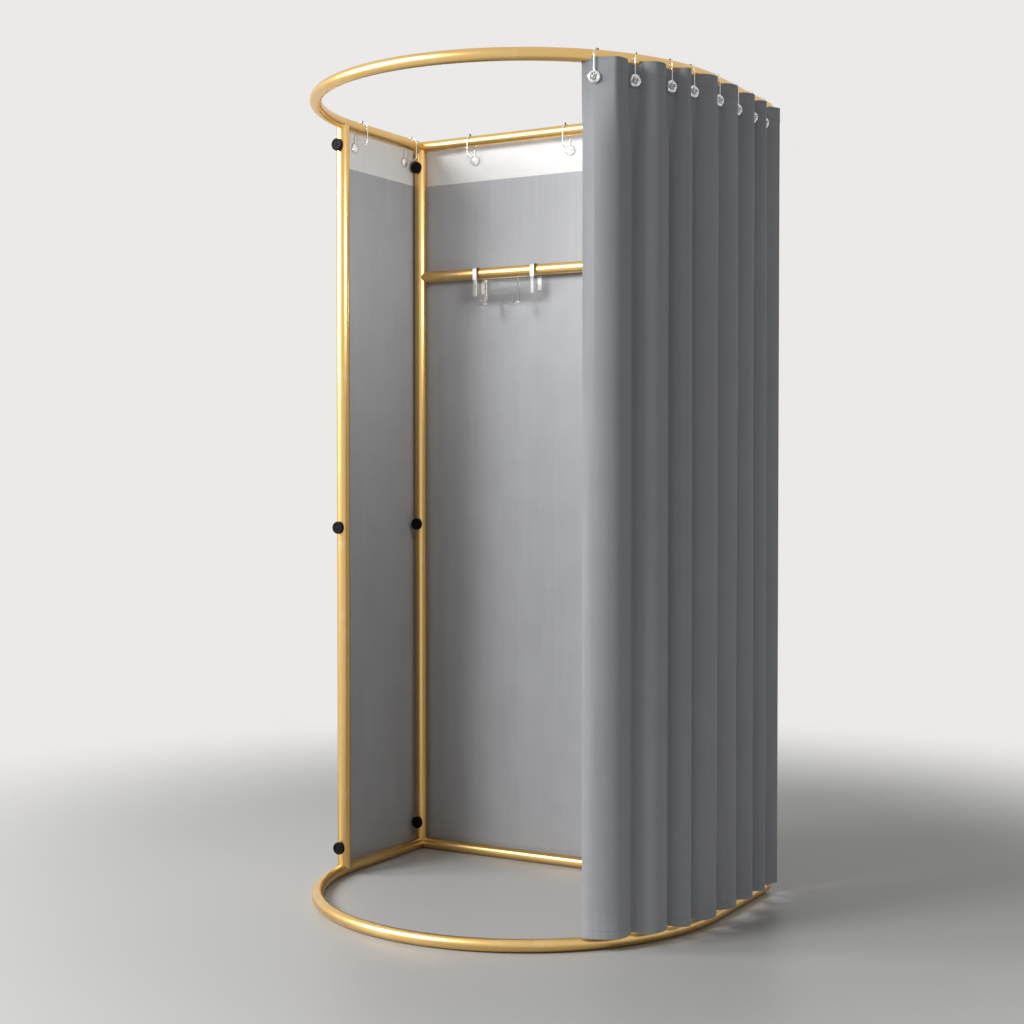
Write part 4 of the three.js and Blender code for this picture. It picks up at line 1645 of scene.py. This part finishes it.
@dataclass
class CoatRack:
    """Two bent straps over the hanging bar, with a clear plate and two pegs."""

    palette: Palette
    left: float = -0.327
    span: float = 0.182
    strap_width: float = 0.012
    strap_thickness: float = 0.0016
    strap_depth: float = 0.045
    front_leg: float = 0.081
    rear_leg: float = 0.070
    bend: float = 0.008
    plate_thickness: float = 0.003
    plate_height: float = 0.046
    peg_thickness: float = 0.003
    peg_width: float = 0.008
    peg_drop: float = 0.028
    peg_reach: float = 0.030
    peg_bend: float = 0.006
    peg_rise: float = 0.014
    peg_inset: float = 0.006
    peg_shares: tuple[float, ...] = (0.215, 0.785)
    bend_steps: int = 8
    plate_steps: int = 4

    def build(self) -> None:
        """Build the straps and the plate with its pegs."""
        top = PLAN.bar_radius + PLAN.seat + self.strap_thickness / 2
        leg = (self.strap_depth - self.strap_thickness) / 2
        low = top + self.strap_thickness / 2 - self.front_leg
        corner, rise = leg - self.bend, top - self.bend
        route = [(-leg, low), (-leg, low / 2)]
        route += arc((-corner, rise), self.bend, 180, 90, self.bend_steps)
        route += arc((corner, rise), self.bend, 90, 0, self.bend_steps)
        route += [(leg, -self.rear_leg / 2), (leg, top - self.rear_leg)]
        for label, x in (("left", self.left), ("right", self.left + self.span)):
            strap = bent_strip("strap", route, self.strap_width, self.strap_thickness,
                               (x, 0.0, PLAN.bar_height))
            strap.materials.append(self.palette.strap)
            dress(add_object(f"strap_{label}", strap), "coat_rack", Slot.STRAP, f"rack_strap_{label}")
        front = -leg - self.strap_thickness / 2 - PLAN.seat
        self.add_plate(front, low)
        LOG.info("coat rack")

    def add_plate(self, front: float, low: float) -> None:
        """Build the clear plate, from the face of the straps to the pegs' tips.

        Args:
            front: Y of the plate's back face.
            low: Height of the plate's lower edge above the bar's axis.
        """
        middle = front - self.plate_thickness / 2
        width = self.span + self.strap_width
        centre = self.left + self.span / 2
        upright = [(middle, low + self.plate_height * step / self.plate_steps)
                   for step in range(self.plate_steps + 1)]
        plate = bent_strip("plate", upright, width, self.plate_thickness,
                           (centre, 0.0, PLAN.bar_height))
        parts = [plate]
        start = middle - (self.plate_thickness + self.peg_thickness) / 2 - PLAN.seat
        foot = low - self.peg_drop
        bend = self.peg_bend
        for share in self.peg_shares:
            route = [(start, low + self.plate_height - self.peg_inset), (start, low), (start, foot + bend)]
            route += arc((start - bend, foot + bend), bend, 0, -90, self.bend_steps)[1:]
            tip = middle - self.peg_reach
            route += arc((tip + bend, foot + bend), bend, -90, -180, self.bend_steps)
            route += [(tip, foot + self.peg_rise)]
            parts.append(bent_strip("peg", route, self.peg_width, self.peg_thickness,
                                    (self.left + share * self.span, 0.0, PLAN.bar_height)))
        for part in parts:
            part.materials.append(self.palette.clear)
        dress(add_object("clear_rack_plate", joined("plate", parts)), "coat_rack", Slot.PLATE,
              "rack_plate")


# Studio


@dataclass(frozen=True)
class Lamp:
    """One soft area lamp that looks at a target."""

    name: str
    place: Point
    target: Point
    size: float
    power: float
    spread: float = 180.0

    def build(self) -> None:
        """Put the lamp into the scene."""
        light = bpy.data.lights.new(self.name, "AREA")
        light.shape = "DISK"
        light.spread = math.radians(self.spread)
        light.size = self.size
        light.energy = self.power
        lamp = bpy.data.objects.new(self.name, light)
        lamp.visible_camera = False
        lamp.location = self.place
        aim = Vector(self.target) - Vector(self.place)
        lamp.rotation_euler = aim.to_track_quat("-Z", "Y").to_euler()
        bpy.context.scene.collection.objects.link(lamp)


@dataclass
class Studio:
    """The camera, the lamps, the pale floor and the pale surroundings."""

    camera_place: Point = (2.0875, -3.9851, 1.0601)
    camera_pitch: float = 88.74
    camera_turn: float = 30.07
    camera_lens: float = 58.90
    floor_reach: float = 6.0
    fade: Band = (1.1, 2.9)
    floor_roughness: float = 0.45
    floor_colour: Colour = (0.40, 0.40, 0.395, 1)
    backdrop: Colour = (0.83, 0.82, 0.81, 1)
    fill: float = 0.27
    lamps: tuple[Lamp, ...] = (
        Lamp("key_lamp", (-2.2, -4.22, 3.3), (0.1, -0.4, 1.0), 1.9, 216.0),
        Lamp("side_lamp", (-3.6, -2.9, 2.4), (0.1, -0.4, 1.0), 1.6, 135.0),
        Lamp("room_lamp", (0.35, -0.52, 1.72), (-0.517, -0.20, 1.70), 0.3, 2.6, spread=140.0),
    )

    def add_camera(self) -> None:
        """Set the camera at the photograph's viewing angle."""
        data = bpy.data.cameras.new("camera")
        data.lens = self.camera_lens
        camera = bpy.data.objects.new("camera", data)
        camera.location = self.camera_place
        camera.rotation_euler = (math.radians(self.camera_pitch), 0.0, math.radians(self.camera_turn))
        bpy.context.scene.collection.objects.link(camera)
        bpy.context.scene.camera = camera

    def add_world(self) -> None:
        """Light the scene evenly and show the pale backdrop to the camera and in gloss."""
        world = bpy.data.worlds.new("studio")
        world.use_nodes = True
        bpy.context.scene.world = world
        tree = world.node_tree
        path = add_node(tree, "ShaderNodeLightPath").outputs
        seen = math_node(tree, "MAXIMUM", path["Is Camera Ray"], path["Is Glossy Ray"])
        shown = math_node(tree, "MAXIMUM", seen, path["Is Transmission Ray"])
        level = (self.fill, self.fill, self.fill, 1)
        plug(tree, mixed(tree, shown, level, self.backdrop), tree.nodes["Background"].inputs["Color"])

    def add_floor(self) -> None:
        """Lay a pale floor that fades into the backdrop."""
        reach = self.floor_reach
        corners = [(-reach, -reach, 0.0), (reach, -reach, 0.0), (reach, reach, 0.0), (-reach, reach, 0.0)]
        floor = add_object("floor", face_mesh("floor", corners, [(0, 1, 2, 3)]))
        material = bpy.data.materials.new("pale_floor")
        material.use_nodes = True
        tree = material.node_tree
        shader = tree.nodes["Principled BSDF"]
        plug(tree, self.floor_colour, shader.inputs["Base Color"])
        plug(tree, self.floor_roughness, shader.inputs["Roughness"])
        chart = add_node(tree, "ShaderNodeTexCoord").outputs["Object"]
        length = add_node(tree, "ShaderNodeVectorMath", {"operation": "LENGTH"}, Vector=chart)
        fade = ranged(tree, length.outputs["Value"], self.fade, (1.0, 0.0), "SMOOTHSTEP")
        plug(tree, fade, shader.inputs["Alpha"])
        floor.data.materials.append(material)

    def build(self) -> None:
        """Build the studio."""
        bpy.context.scene.view_settings.view_transform = "Standard"
        self.add_camera()
        self.add_world()
        self.add_floor()
        for lamp in self.lamps:
            lamp.build()


def main() -> None:
    """Build the fitting room on its frame, piece by piece."""
    logging.basicConfig(level=logging.INFO, format="%(message)s")
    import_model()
    Studio().build()
    palette, shop = Palette(), Workshop()
    TubeFrame(palette, shop).build()
    Knobs(palette, shop).build()
    back = WallCloth(palette, shop, "back", start=(-0.529, 0.024, 0.0), along=(1, 0, 0),
                     outwards=(0, 1, 0), length=1.058, overlap=0.012, rail=1.034,
                     hook_shares=(0.16, 0.45, 0.74, 0.96))
    left = WallCloth(palette, shop, "left", start=(-0.541, -0.366, 0.0), along=(0, 1, 0),
                     outwards=(-1, 0, 0), length=0.378, overlap=0.006, rail=0.366,
                     hook_shares=(0.19, 0.84))
    back.build(["back_panel"], ["back_header"])
    left.build(["left_panel"], ["left_header"])
    curtain = Curtain(palette, shop)
    curtain.build()
    RingHooks(palette, shop).build(curtain, (back, left))
    CoatRack(palette).build()


if __name__ == "__main__":
    main()
